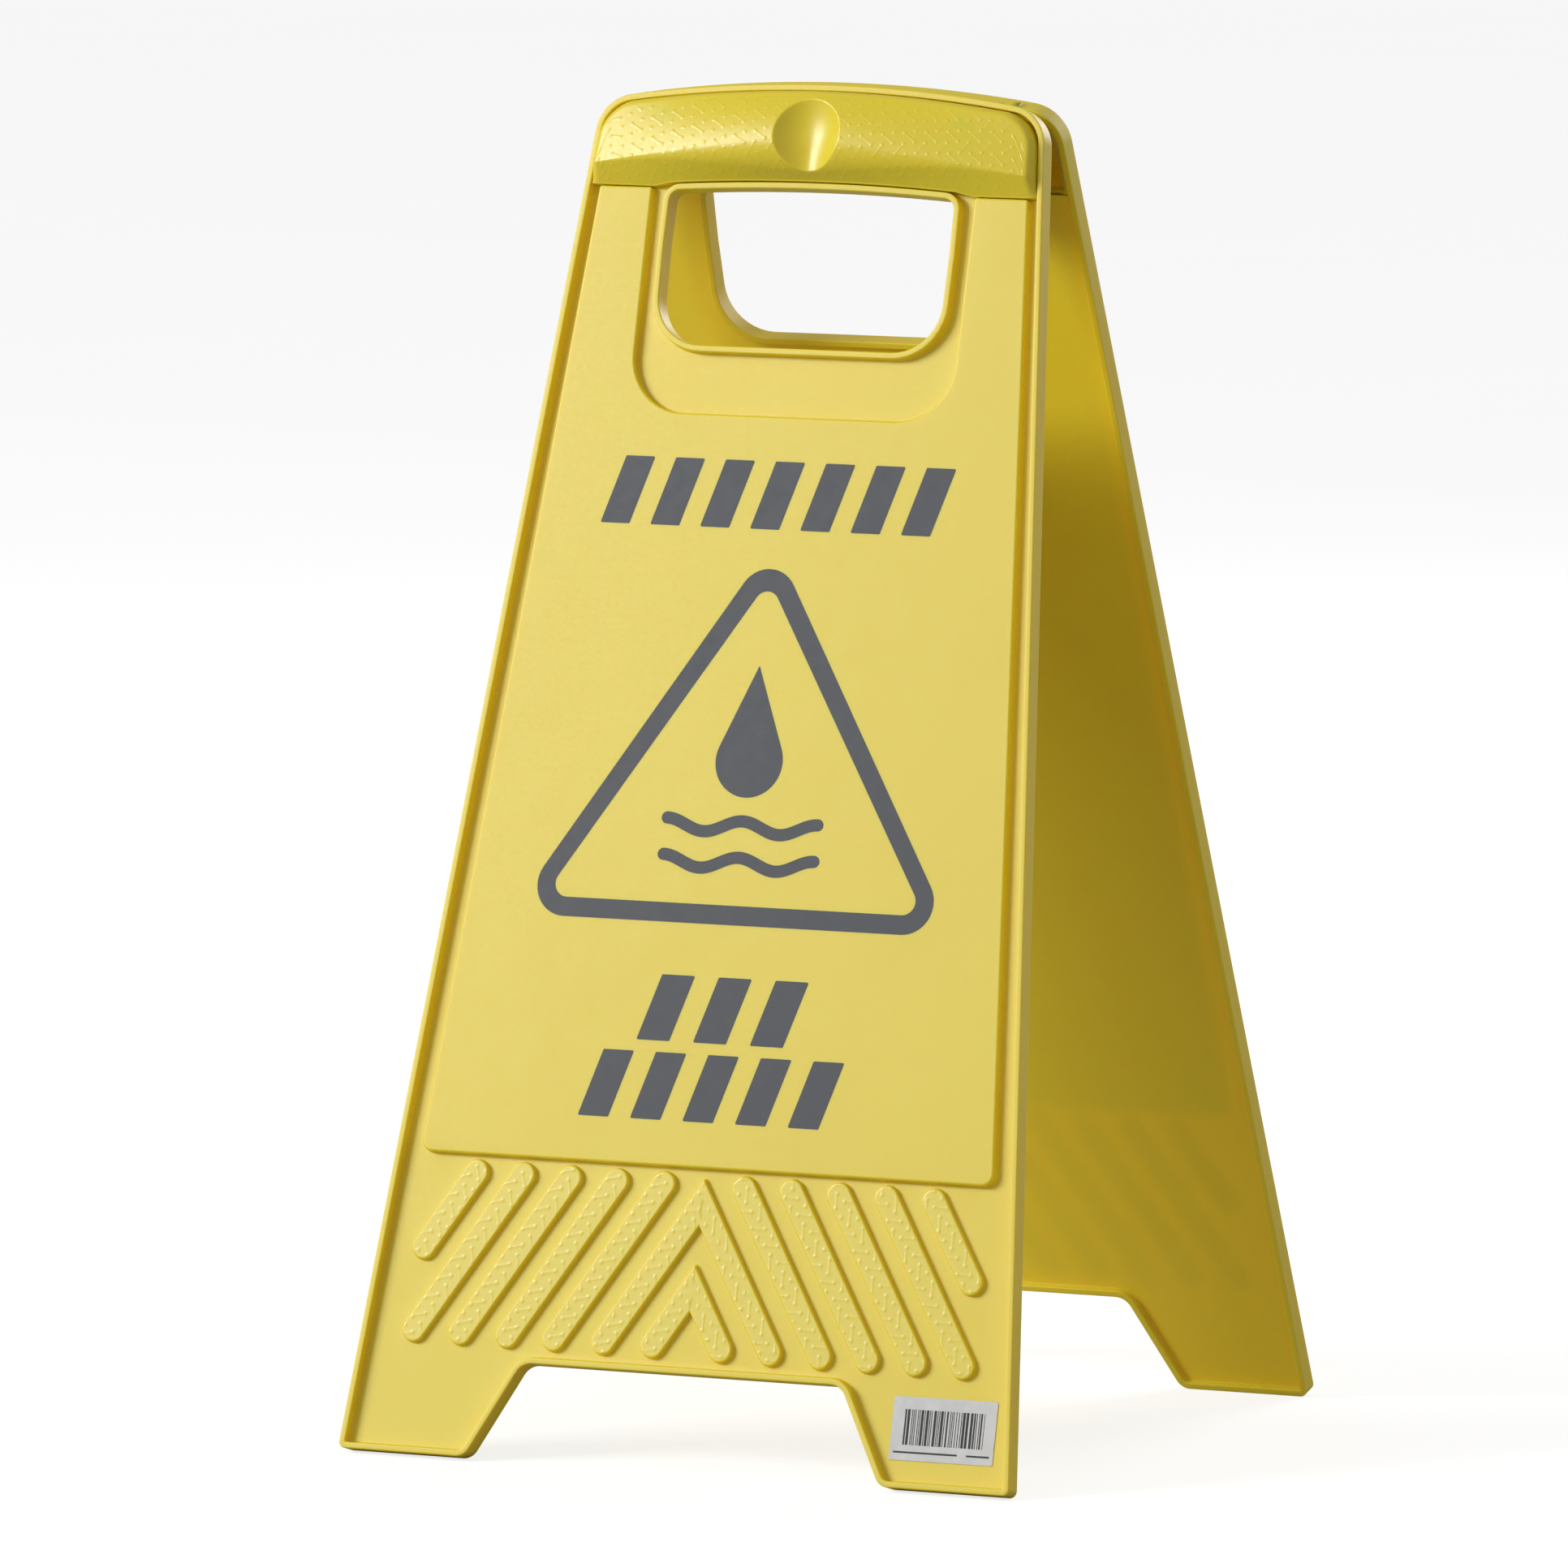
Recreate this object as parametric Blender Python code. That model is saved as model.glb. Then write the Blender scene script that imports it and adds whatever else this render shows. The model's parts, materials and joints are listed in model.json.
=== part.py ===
"""Folding wet floor sign: two moulded panels hinged at the top, standing as an A-frame.

Metres, +Z up.  The sign stands on z = 0, its hinge runs along X above y = 0, and the front
panel faces -Y.  Each panel is modelled flat in its own drawing frame, whose origin lies on
the hinge axis: X runs across the panel, Y up it and Z out of its face.  An empty on the
hinge then leans each panel back.  "Down" distances are measured down the panel from the
crest, the line where the two inner faces would meet.
"""
import math

import bmesh
import bpy
from mathutils import Matrix, Vector

MM = 0.001

# Panel moulding
TILT = math.radians(15.0)          # lean of each panel when the sign stands open
PANEL_T = 9.36 * MM                # thickness over the rims
CREST_HALF = 105.5 * MM            # half width at the crest
SIDE_SLOPE = 0.0893                # half width gained for each metre down
FOOT_DOWN = 610.5 * MM             # crest to the underside of the feet
ARCH_DOWN = 0.95 * MM              # crest to the highest point of the arched top
ARCH_R = 640 * MM
SHOULDER_R = 18.3 * MM
RIM = 2.85 * MM                    # width of the raised rim
INNER_FLOOR = 3.15 * MM            # recess depth behind the web
OUTER_FLOOR = 4.75 * MM            # height of the web's outer surface
FOOT_R = 3.0 * MM                  # outer corner of a foot
ARCHWAY_R = 8.0 * MM               # corners of the cut-out between the feet
ARCHWAY_DOWN = 568.1 * MM          # crest to the top of that cut-out
ARCHWAY_TOP_HALF = 76.0 * MM
ARCHWAY_FOOT_HALF = 98.9 * MM

# Raised message pad
PAD_TOP = 8.75 * MM
PAD_DOWN_TOP = 48.6 * MM
PAD_DOWN_FOOT = 478.2 * MM
PAD_HALF = 98.9 * MM
PAD_SLOPE = 0.0793
PAD_EDGE = 1.0 * MM                # rounding along the pad's edge
SCOOP_HALF = 77.4 * MM             # recess in the pad around the hand hole
SCOOP_DOWN = 148.3 * MM
SCOOP_R = 26 * MM

# Hand hole and its collar
HOLE_HALF = 68.2 * MM
HOLE_DOWN_TOP = 47.4 * MM
HOLE_DOWN_FOOT = 118.1 * MM
HOLE_R_TOP = 5.0 * MM
HOLE_R_FOOT = 22.0 * MM
HOLE_ARCH_R = 960 * MM
COLLAR = 2.85 * MM

# Raised chevron bars under the pad
BAR_W = 11.0 * MM
BAR_TOP = 7.3 * MM
BAR_DOWN_TOP = 486 * MM
BAR_DOWN_FOOT = 556.3 * MM
BAR_SLOPE = 0.63
BAR_FIRST = 19.2 * MM
BAR_PITCH = 22.5 * MM
BAR_COUNT = 4
SHORT_BAR_FOOT = 520 * MM
SMALL_APEX_DOWN = 530.5 * MM
BIG_APEX_DOWN = 493.1 * MM

# Grip inserts
GRIP_GAP = 0.35 * MM
GRIP_WALL = 2.2 * MM
GRIP_SEAT = 5.05 * MM              # height of the edge that sits on the web
GRIP_BACK = 8.2 * MM               # height of the grip beside the top rim
GRIP_END = 15.1 * MM               # height of the crest at the grip's ends
GRIP_MID = 22.8 * MM               # height of the crest in the middle
GRIP_TOE = 9.2 * MM                # height of the grip's lower edge
GRIP_CORNER = 15.0 * MM
GRIP_EDGE = 3.4 * MM               # width of the rounding along the top and the ends
CREASE_R_END = 0.8 * MM            # the crest is sharp at the ends and round in the middle
CREASE_R_MID = 16.7 * MM
CREST_R_UP = 32 * MM               # gentler rounding above the crest
TOE_DOWN_MID = 44.2 * MM
TOE_DOWN_END = 48.3 * MM
DISH_DOWN = 24.9 * MM
DISH_R = 15.75 * MM
DISH_DROP = 1.5 * MM               # depth of the dish below its upper and lower edges

# Hinge
HALF_GAP = 4.0 * MM                # hinge axis to each panel's inner face
EAR_R = 5.5 * MM
EAR_T = 4.0 * MM
EAR_GAP = 0.4 * MM
EAR_X = 84.0 * MM                  # middle of each pair of ears
EAR_BASE = 9.5 * MM                # half length of an ear's root
PIN_R = 2.0 * MM
PIN_CLEAR = 0.08 * MM
PIN_HEAD_R = 4.2 * MM
PIN_HEAD_T = 2.0 * MM
CAP_R = 4.2 * MM
CAP_T = 5.0 * MM
CAP_FLOOR = 1.4 * MM

# Webs that cross the grip window, and the screws in them
BRIDGE_IN = 62 * MM
BRIDGE_OUT = 90 * MM
WINDOW_FOOT = 47.9 * MM
LEDGE = 0.6 * MM                   # web left standing round those windows
SCREW_X = 70 * MM
SCREW_DOWNS = (20 * MM, 38 * MM)
SCREW_R = 1.5 * MM
SCREW_HEAD_R = 3.0 * MM
SCREW_HEAD_T = 1.8 * MM
SCREW_LENGTH = 8.0 * MM
BOSS_R = 4.0 * MM
PILOT_LENGTH = 7.4 * MM
FIT_CLEAR = 0.05 * MM              # radial clearance round a screw's shank or in a cap

# Adhesive stock label on the front right foot
LABEL_W = 48.7 * MM
LABEL_H = 27.5 * MM
LABEL_T = 0.25 * MM
LABEL_X = 124.5 * MM
LABEL_DOWN = 584.1 * MM
LABEL_TURN = math.radians(0.3)

AXIS_DOWN = HALF_GAP / math.tan(TILT)
CREST_Z = FOOT_DOWN * math.cos(TILT)
AXIS_Z = CREST_Z - HALF_GAP / math.sin(TILT)

YELLOW = (0.70, 0.56, 0.10)
GRIP_YELLOW = (0.68, 0.55, 0.11)


# ---------------------------------------------------------------- scene and materials

def clear_scene():
    for obj in list(bpy.data.objects):
        bpy.data.objects.remove(obj, do_unlink=True)
    for mesh in list(bpy.data.meshes):
        bpy.data.meshes.remove(mesh)


def collection(name):
    group = bpy.data.collections.new(name)
    bpy.context.scene.collection.children.link(group)
    return group


def material(name, colour, roughness, metallic=0.0):
    mat = bpy.data.materials.new(name)
    mat.use_nodes = True
    shader = mat.node_tree.nodes["Principled BSDF"]
    shader.inputs["Base Color"].default_value = (*colour, 1.0)
    shader.inputs["Roughness"].default_value = roughness
    shader.inputs["Metallic"].default_value = metallic
    mat.diffuse_color = (*colour, 1.0)
    return mat


# ---------------------------------------------------------------- drawing in the panel frame

def down(distance):
    """Height in the drawing frame of a line this far down from the crest."""
    return AXIS_DOWN - distance


def out(height):
    """Drawing-frame Z of a level this far out from the inner face."""
    return HALF_GAP + height


def side_half(distance):
    return CREST_HALF + SIDE_SLOPE * distance


def arch_down(x, inset=0.0):
    """How far down the arched top edge lies at x."""
    radius = ARCH_R - inset
    return ARCH_DOWN + inset + radius - math.sqrt(radius * radius - x * x)


def rounded(corners, steps=6):
    """Closed outline through (x, y, radius) corners, with an arc at each rounded one."""
    points = []
    count = len(corners)
    for i, (x, y, radius) in enumerate(corners):
        corner = Vector((x, y))
        if radius <= 0:
            points.append(corner)
            continue
        before = (Vector(corners[i - 1][:2]) - corner).normalized()
        after = (Vector(corners[(i + 1) % count][:2]) - corner).normalized()
        half = before.angle(after) / 2
        centre = corner + (before + after).normalized() * radius / math.sin(half)
        start = corner + before * radius / math.tan(half) - centre
        end = corner + after * radius / math.tan(half) - centre
        sweep = math.atan2(start.x * end.y - start.y * end.x, start.dot(end))
        for k in range(steps + 1):
            turn = Matrix.Rotation(sweep * k / steps, 2)
            points.append(centre + turn @ start)
    return points


def mirrored(half):
    """Closed corner list from its right half, which runs from the top down."""
    return half + [(-x, y, r) for x, y, r in reversed(half)]


def panel_corners(inset):
    """Corners of the whole panel, drawn in by the inset all round."""
    arch = [(x * MM, down(arch_down(x * MM, inset)), 0.0) for x in range(8, 89, 10)]
    lean = math.atan(SIDE_SLOPE)
    narrow = inset / math.cos(lean)
    shoulder_down = arch_down(CREST_HALF + 1.5 * MM - narrow, inset)
    shoulder = (side_half(shoulder_down) - narrow, down(shoulder_down), SHOULDER_R - inset)
    foot_down = FOOT_DOWN - inset
    outer = (side_half(foot_down) - narrow, down(foot_down), max(FOOT_R - inset, 0.8 * MM))
    rise = FOOT_DOWN - ARCHWAY_DOWN
    slant = (ARCHWAY_FOOT_HALF - ARCHWAY_TOP_HALF) / rise
    shift = inset * math.hypot(1, slant)
    inner_x = ARCHWAY_TOP_HALF + slant * (foot_down - ARCHWAY_DOWN) + shift
    top_x = ARCHWAY_TOP_HALF - slant * inset + shift
    inner = (inner_x, down(foot_down), max(7 * MM - inset, 2 * MM))
    top = (top_x, down(ARCHWAY_DOWN - inset), ARCHWAY_R + inset)
    return mirrored(arch + [shoulder, outer, inner, top])


def hole_corners(grow):
    """Corners of the hand hole, drawn out by the growth all round."""
    radius = HOLE_ARCH_R + grow
    half = HOLE_HALF + grow
    top = HOLE_DOWN_TOP - grow

    def arch(x):
        return down(top + radius - math.sqrt(radius * radius - x * x))

    right = [(x * MM, arch(x * MM), 0.0) for x in (8, 24, 40, 54)]
    right.append((half, arch(half), HOLE_R_TOP + grow))
    right.append((half + 0.3 * MM, down(75 * MM), 0.0))
    right.append((half - 0.6 * MM, down(HOLE_DOWN_FOOT + grow), HOLE_R_FOOT + grow))
    return mirrored(right)


def pad_corners():
    top, foot = down(PAD_DOWN_TOP), down(PAD_DOWN_FOOT)
    half_top = PAD_HALF + PAD_SLOPE * PAD_DOWN_TOP
    half_foot = PAD_HALF + PAD_SLOPE * PAD_DOWN_FOOT
    scoop = down(SCOOP_DOWN)
    right = [(SCOOP_HALF - 0.6 * MM, scoop, SCOOP_R), (SCOOP_HALF, top, 0.0),
             (half_top, top, 0.0), (half_foot, foot, 5 * MM)]
    return mirrored(right)


# ---------------------------------------------------------------- solids

def finish(obj, group, mat):
    """Move the object to its collection and give it its material."""
    for owner in list(obj.users_collection):
        owner.objects.unlink(obj)
    group.objects.link(obj)
    obj.data.materials.clear()
    if mat:
        obj.data.materials.append(mat)
    return obj


def weld(obj):
    mesh = bmesh.new()
    mesh.from_mesh(obj.data)
    bmesh.ops.remove_doubles(mesh, verts=mesh.verts, dist=0.00001)
    bmesh.ops.recalc_face_normals(mesh, faces=mesh.faces)
    mesh.to_mesh(obj.data)
    mesh.free()
    return obj


def slab(name, outlines, low, high):
    """Flat solid between two levels, from a 2D curve; later outlines are holes."""
    curve = bpy.data.curves.new(name, "CURVE")
    curve.dimensions = "2D"
    curve.fill_mode = "BOTH"
    curve.extrude = (high - low) / 2
    for outline in outlines:
        spline = curve.splines.new("POLY")
        spline.points.add(len(outline) - 1)
        for point, place in zip(spline.points, outline):
            point.co = (place.x, place.y, 0.0, 1.0)
        spline.use_cyclic_u = True
    obj = bpy.data.objects.new(name, curve)
    bpy.context.scene.collection.objects.link(obj)
    mesh = bpy.data.meshes.new_from_object(obj)
    bpy.data.objects.remove(obj, do_unlink=True)
    mesh.transform(Matrix.Translation((0, 0, (low + high) / 2)))
    solid = bpy.data.objects.new(name, mesh)
    bpy.context.scene.collection.objects.link(solid)
    return weld(solid)


def rod(name, radius, length, place, axis="Z", segments=24):
    """Cylinder that starts at a place and runs along an axis."""
    bpy.ops.mesh.primitive_cylinder_add(vertices=segments, radius=radius, depth=length)
    obj = bpy.context.object
    obj.name = name
    obj.data.transform(Matrix.Translation((0, 0, length / 2)))
    if axis == "X":
        obj.data.transform(Matrix.Rotation(math.radians(90), 4, "Y"))
    if axis == "-X":
        obj.data.transform(Matrix.Rotation(math.radians(-90), 4, "Y"))
    obj.data.transform(Matrix.Translation(place))
    return obj


def box(name, low, high):
    bpy.ops.mesh.primitive_cube_add(size=1)
    obj = bpy.context.object
    obj.name = name
    size = [high[i] - low[i] for i in range(3)]
    middle = [(high[i] + low[i]) / 2 for i in range(3)]
    obj.data.transform(Matrix.Diagonal((*size, 1)))
    obj.data.transform(Matrix.Translation(middle))
    return obj


def apply_modifiers(obj):
    graph = bpy.context.evaluated_depsgraph_get()
    mesh = bpy.data.meshes.new_from_object(obj.evaluated_get(graph))
    obj.modifiers.clear()
    obj.data = mesh


def combine(obj, other, operation, cutters):
    """Apply one exact Boolean, and put the tool aside with the cutters."""
    change = obj.modifiers.new(operation.lower(), "BOOLEAN")
    change.object = other
    change.operation = operation
    change.solver = "EXACT"
    bpy.context.view_layer.update()
    apply_modifiers(obj)
    weld(obj)
    finish(other, cutters, None)
    other.hide_render = True
    other.hide_viewport = True
    other.display_type = "WIRE"


def bevel_top(obj, level, width):
    """Round the edges that border the top face of a slab."""
    mesh = bmesh.new()
    mesh.from_mesh(obj.data)
    edges = []
    for edge in mesh.edges:
        flat = all(abs(v.co.z - level) < 0.00001 for v in edge.verts)
        if flat and len(edge.link_faces) == 2:
            walls = [f for f in edge.link_faces if abs(f.normal.z) < 0.5]
            if len(walls) == 1:
                edges.append(edge)
    bmesh.ops.bevel(mesh, geom=edges, offset=width, segments=2, profile=0.5,
                    affect="EDGES", clamp_overlap=True)
    mesh.to_mesh(obj.data)
    mesh.free()


# ---------------------------------------------------------------- panel moulding

def bar(name, start, end):
    """Raised bar with round ends between two (x, down) points."""
    a = Vector((start[0], down(start[1])))
    b = Vector((end[0], down(end[1])))
    along = (b - a).normalized()
    across = Vector((-along.y, along.x)) * BAR_W / 2
    outline = []
    for centre, first in ((b, -across), (a, across)):
        for k in range(7):
            outline.append(centre + Matrix.Rotation(math.pi * k / 6, 2) @ first)
    solid = slab(name, [outline], out(OUTER_FLOOR - 0.4 * MM), out(BAR_TOP))
    bevel_top(solid, out(BAR_TOP), 0.8 * MM)
    return solid


def chevron_bars():
    rise = BAR_DOWN_FOOT - BAR_DOWN_TOP
    bars = []
    for side in (-1, 1):
        for i in range(BAR_COUNT):
            top = BAR_FIRST + BAR_PITCH * i
            foot = top + BAR_SLOPE * rise
            bars.append(bar("bar", (side * top, BAR_DOWN_TOP), (side * foot, BAR_DOWN_FOOT)))
        top = BAR_FIRST + BAR_PITCH * BAR_COUNT
        foot = top + BAR_SLOPE * (SHORT_BAR_FOOT - BAR_DOWN_TOP)
        bars.append(bar("bar", (side * top, BAR_DOWN_TOP), (side * foot, SHORT_BAR_FOOT)))
    return bars


def vee(apex_down):
    """Raised V with its point up, mitred at the point and round at the ends."""
    reach = BAR_SLOPE * (BAR_DOWN_FOOT - apex_down)
    apex = Vector((0, down(apex_down)))
    right = Vector((reach, down(BAR_DOWN_FOOT)))
    along = (right - apex).normalized()
    across = Vector((-along.y, along.x)) * BAR_W / 2
    tip = BAR_W / 2 / abs(along.x)
    outline = [apex + Vector((0, tip))]
    arc = [right + Matrix.Rotation(-math.pi * k / 6, 2) @ across for k in range(7)]
    outline += arc
    outline.append(apex - Vector((0, tip)))
    outline += [Vector((-p.x, p.y)) for p in reversed(arc)]
    solid = slab("vee", [outline], out(OUTER_FLOOR - 0.4 * MM), out(BAR_TOP))
    bevel_top(solid, out(BAR_TOP), 0.8 * MM)
    return solid


def window_cutters(cutters):
    """Openings in the web behind the grip, left of, between and right of the bridges."""
    low, high = out(INNER_FLOOR - 1 * MM), out(OUTER_FLOOR + 1 * MM)
    beyond = 2 * CREST_HALF
    tools = []
    for side in (-1, 1):
        end = slab("end_window", [rounded(panel_corners(RIM + LEDGE))], low, high)
        span = sorted((side * BRIDGE_OUT, side * beyond))
        keep = box("window_end", (span[0], down(WINDOW_FOOT), low - 1 * MM),
                   (span[1], down(-beyond), high + 1 * MM))
        combine(end, keep, "INTERSECT", cutters)
        tools.append(end)
    xs = [-BRIDGE_IN, -BRIDGE_IN / 2, 0.0, BRIDGE_IN / 2, BRIDGE_IN]
    top = [Vector((x, down(arch_down(x, RIM + LEDGE)))) for x in xs]
    foot = [Vector((x, down(hole_top(x, COLLAR + LEDGE)))) for x in reversed(xs)]
    tools.append(slab("middle_window", [top + foot], low, high))
    return tools


def hole_top(x, grow):
    radius = HOLE_ARCH_R + grow
    return HOLE_DOWN_TOP - grow + radius - math.sqrt(radius * radius - x * x)


def ear(name, x_low, x_high):
    """Hinge ear: a lobe round the axis on a wide root, bored for the pin."""
    root = out(OUTER_FLOOR - 0.4 * MM)
    reach = min(EAR_BASE, AXIS_DOWN - arch_down(0, RIM) - 0.4 * MM)
    outline = [Vector((reach, root)), Vector((-EAR_BASE, root))]
    lobe = []
    for k in range(13):
        angle = math.radians(190 + 160 * k / 12)
        lobe.append(Vector((math.cos(angle), math.sin(angle))) * EAR_R)
    outline += lobe
    bore = [Vector((math.cos(a), math.sin(a))) * (PIN_R + PIN_CLEAR)
            for a in (math.tau * k / 24 for k in range(24))]
    solid = slab(name, [outline, bore], 0.0, x_high - x_low)
    turn = Matrix(((0, 0, 1, 0), (1, 0, 0, 0), (0, 1, 0, 0), (0, 0, 0, 1)))
    solid.data.transform(turn)
    solid.data.transform(Matrix.Translation((x_low, 0, 0)))
    return weld(solid)


def ear_spans():
    """X spans of a panel's two ears; turned half round, they sit beside their twins."""
    near = EAR_GAP / 2
    return ((-EAR_X - near - EAR_T, -EAR_X - near), (EAR_X - near - EAR_T, EAR_X - near))


def panel(name, group, cutters, mat):
    body = slab(name, [rounded(panel_corners(0)), rounded(hole_corners(0))],
                out(0), out(PANEL_T))
    face = slab("outer_recess", [rounded(panel_corners(RIM)), rounded(hole_corners(COLLAR))],
                out(OUTER_FLOOR), out(PANEL_T + 5 * MM))
    back = slab("inner_recess", [rounded(panel_corners(RIM)), rounded(hole_corners(COLLAR))],
                out(-5 * MM), out(INNER_FLOOR))
    combine(body, face, "DIFFERENCE", cutters)
    combine(body, back, "DIFFERENCE", cutters)
    for cutter in window_cutters(cutters):
        combine(body, cutter, "DIFFERENCE", cutters)
    pad = slab("pad", [rounded(pad_corners())], out(OUTER_FLOOR - 0.4 * MM), out(PAD_TOP))
    bevel_top(pad, out(PAD_TOP), PAD_EDGE)
    additions = [pad] + chevron_bars() + [vee(SMALL_APEX_DOWN), vee(BIG_APEX_DOWN)]
    additions += [ear("ear", low, high) for low, high in ear_spans()]
    for addition in additions:
        combine(body, addition, "UNION", cutters)
    for x, y in screw_places():
        hole = rod("screw_hole", SCREW_R + 0.2 * MM, 4 * MM, (x, y, out(INNER_FLOOR - 1 * MM)))
        combine(body, hole, "DIFFERENCE", cutters)
    body.name = name
    return finish(body, group, mat)


# ---------------------------------------------------------------- grip insert

def grip_top(u, inset):
    """How far down the grip's upper edge lies; u runs from -1 to 1 along the grip."""
    end = side_half(20 * MM) - inset
    corner = GRIP_CORNER + RIM - inset
    x = abs(u) * end
    level = arch_down(min(x, end - corner), inset)
    if x > end - corner:
        reach = (x - end + corner) / corner
        level += 2.4 * MM * reach + corner * (1 - math.sqrt(max(1 - reach * reach, 0.0)))
    return level


def grip_foot(x, inset):
    """How far down the grip's lower edge lies: over the collar, then along the pad."""
    level = min(hole_top(min(abs(x), HOLE_HALF), COLLAR), PAD_DOWN_TOP)
    if abs(x) > HOLE_HALF:
        blend = min((abs(x) - HOLE_HALF) / (8 * MM), 1.0)
        level += (PAD_DOWN_TOP - level) * blend
    return level - inset


def grip_height(x, distance):
    """Round handle in the middle, which tightens to a crease towards the grip's ends."""
    t = min(abs(x) / (side_half(TOE_DOWN_MID) - RIM), 1.0)
    share = 0.5 * (1 - t) + 0.25 * (1 + math.cos(math.pi * t))
    crest = GRIP_END + (GRIP_MID - GRIP_END) * math.cos(math.pi / 2 * t)
    radius = CREASE_R_END + (CREASE_R_MID - CREASE_R_END) * share
    toe_down = TOE_DOWN_END + (TOE_DOWN_MID - TOE_DOWN_END) * share
    fall = math.radians(36 + 24 * share)
    centre_z = crest - radius
    centre_d = toe_down - (radius + (centre_z - GRIP_TOE) * math.cos(fall)) / math.sin(fall)
    gap = distance - centre_d
    after = radius * math.sin(fall)
    if gap < 0:
        return crest - share * gap * gap / (2 * CREST_R_UP) + (1 - share) * gap * 0.07
    if gap > after:
        return centre_z + radius * math.cos(fall) - (gap - after) * math.tan(fall)
    return centre_z + math.sqrt(radius * radius - gap * gap)


GRID_LONG = 48
GRID_WIDE = 22
GRID_EDGE = 5


def edge_steps(length, count, both):
    """Distances along a length, close together in the rounded edge at one or both ends."""
    edge = [GRIP_EDGE * (1 - math.cos(math.pi / 2 * k / GRID_EDGE)) for k in range(GRID_EDGE)]
    rest = count - GRID_EDGE * (2 if both else 1)
    stop = length - GRIP_EDGE if both else length
    steps = edge + [GRIP_EDGE + (stop - GRIP_EDGE) * k / rest for k in range(rest + 1)]
    if both:
        steps += [length - step for step in reversed(edge)]
    return steps


def grip_solid(name, inset, lift):
    """Solid under the grip's surface, drawn in by an inset and lowered by the lift."""
    bpy.ops.mesh.primitive_grid_add(x_subdivisions=GRID_LONG, y_subdivisions=GRID_WIDE, size=2)
    obj = bpy.context.object
    obj.name = name
    half = side_half(44 * MM) - RIM - GRIP_GAP - inset
    columns = edge_steps(2 * half, GRID_LONG, True)
    for vertex in obj.data.vertices:
        column = round((vertex.co.x + 1) / 2 * GRID_LONG)
        row = round((1 - vertex.co.y) / 2 * GRID_WIDE)
        x = columns[column] - half
        u = x / half
        top = grip_top(u, RIM + GRIP_GAP + inset)
        foot = grip_foot(x, GRIP_GAP + inset)
        distance = top + edge_steps(foot - top, GRID_WIDE, False)[row]
        lean = SIDE_SLOPE * (distance - 44 * MM) * u
        height = grip_height(x, distance)
        gap = min(distance - top, half - abs(x), GRIP_EDGE) / GRIP_EDGE
        if height > GRIP_BACK:
            height = GRIP_BACK + (height - GRIP_BACK) * math.sqrt(max(gap * (2 - gap), 0.0))
        vertex.co = (x + lean, down(distance), out(height - lift))
    mesh = bmesh.new()
    mesh.from_mesh(obj.data)
    border = [edge for edge in mesh.edges if edge.is_boundary]
    fall = bmesh.ops.extrude_edge_only(mesh, edges=border)["geom"]
    floor = out(GRIP_SEAT if inset == 0 else GRIP_SEAT - 1 * MM)
    for item in fall:
        if isinstance(item, bmesh.types.BMVert):
            item.co.z = floor
    rim_edges = [item for item in fall if isinstance(item, bmesh.types.BMEdge)]
    bmesh.ops.contextual_create(mesh, geom=[e for e in rim_edges if e.is_boundary])
    bmesh.ops.recalc_face_normals(mesh, faces=mesh.faces)
    mesh.to_mesh(obj.data)
    mesh.free()
    return weld(obj)


def bowl_height(x, distance):
    """Height of the dish's floor, which meets the grip's surface along a circle in plan."""
    along = (distance - DISH_DOWN) / DISH_R
    reach = max(math.hypot(x / DISH_R, along), 1e-6)
    rim = grip_height(x / reach, DISH_DOWN + along * DISH_R / reach)
    upper = grip_height(0, DISH_DOWN - DISH_R)
    lower = grip_height(0, DISH_DOWN + DISH_R)
    centre = (upper + lower) / 2 - DISH_DROP
    return centre + (rim - centre) * reach ** 2


def dish_plug(name, radius, lift, rings=8, sides=40):
    """Cutter with the dish's floor below, lowered by the lift, and a flat top above."""
    mesh = bmesh.new()
    centre = mesh.verts.new((0, down(DISH_DOWN), out(bowl_height(0, DISH_DOWN) - lift)))
    loops = []
    for k in range(1, rings + 1):
        loop = []
        for j in range(sides):
            x = radius * k / rings * math.cos(math.tau * j / sides)
            distance = DISH_DOWN + radius * k / rings * math.sin(math.tau * j / sides)
            loop.append(mesh.verts.new((x, down(distance),
                                        out(bowl_height(x, distance) - lift))))
        loops.append(loop)
    loops.append([mesh.verts.new((v.co.x, v.co.y, out(32 * MM))) for v in loops[-1]])
    for j in range(sides):
        mesh.faces.new((centre, loops[0][j - 1], loops[0][j]))
        for low, high in zip(loops, loops[1:]):
            mesh.faces.new((low[j - 1], high[j - 1], high[j], low[j]))
    mesh.faces.new(loops[-1])
    bmesh.ops.recalc_face_normals(mesh, faces=mesh.faces)
    data = bpy.data.meshes.new(name)
    mesh.to_mesh(data)
    mesh.free()
    obj = bpy.data.objects.new(name, data)
    bpy.context.scene.collection.objects.link(obj)
    return obj


def screw_places():
    return [(side * SCREW_X, down(d)) for side in (-1, 1) for d in SCREW_DOWNS]


def grip(name, group, cutters, mat):
    shell = grip_solid(name, 0.0, 0.0)
    cavity = grip_solid("grip_cavity", GRIP_WALL, GRIP_WALL)
    combine(cavity, dish_plug("dish_back", DISH_R + GRIP_WALL, GRIP_WALL), "DIFFERENCE", cutters)
    for x, y in screw_places():
        boss = rod("boss", BOSS_R, 30 * MM, (x, y, out(GRIP_SEAT - 3 * MM)), segments=20)
        combine(cavity, boss, "DIFFERENCE", cutters)
    combine(shell, dish_plug("dish", DISH_R, 0.0), "DIFFERENCE", cutters)
    combine(shell, cavity, "DIFFERENCE", cutters)
    for x, y in screw_places():
        pilot = rod("pilot", SCREW_R + FIT_CLEAR, PILOT_LENGTH, (x, y, out(GRIP_SEAT - 1 * MM)))
        combine(shell, pilot, "DIFFERENCE", cutters)
    shell.name = name
    return finish(shell, group, mat)


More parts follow.
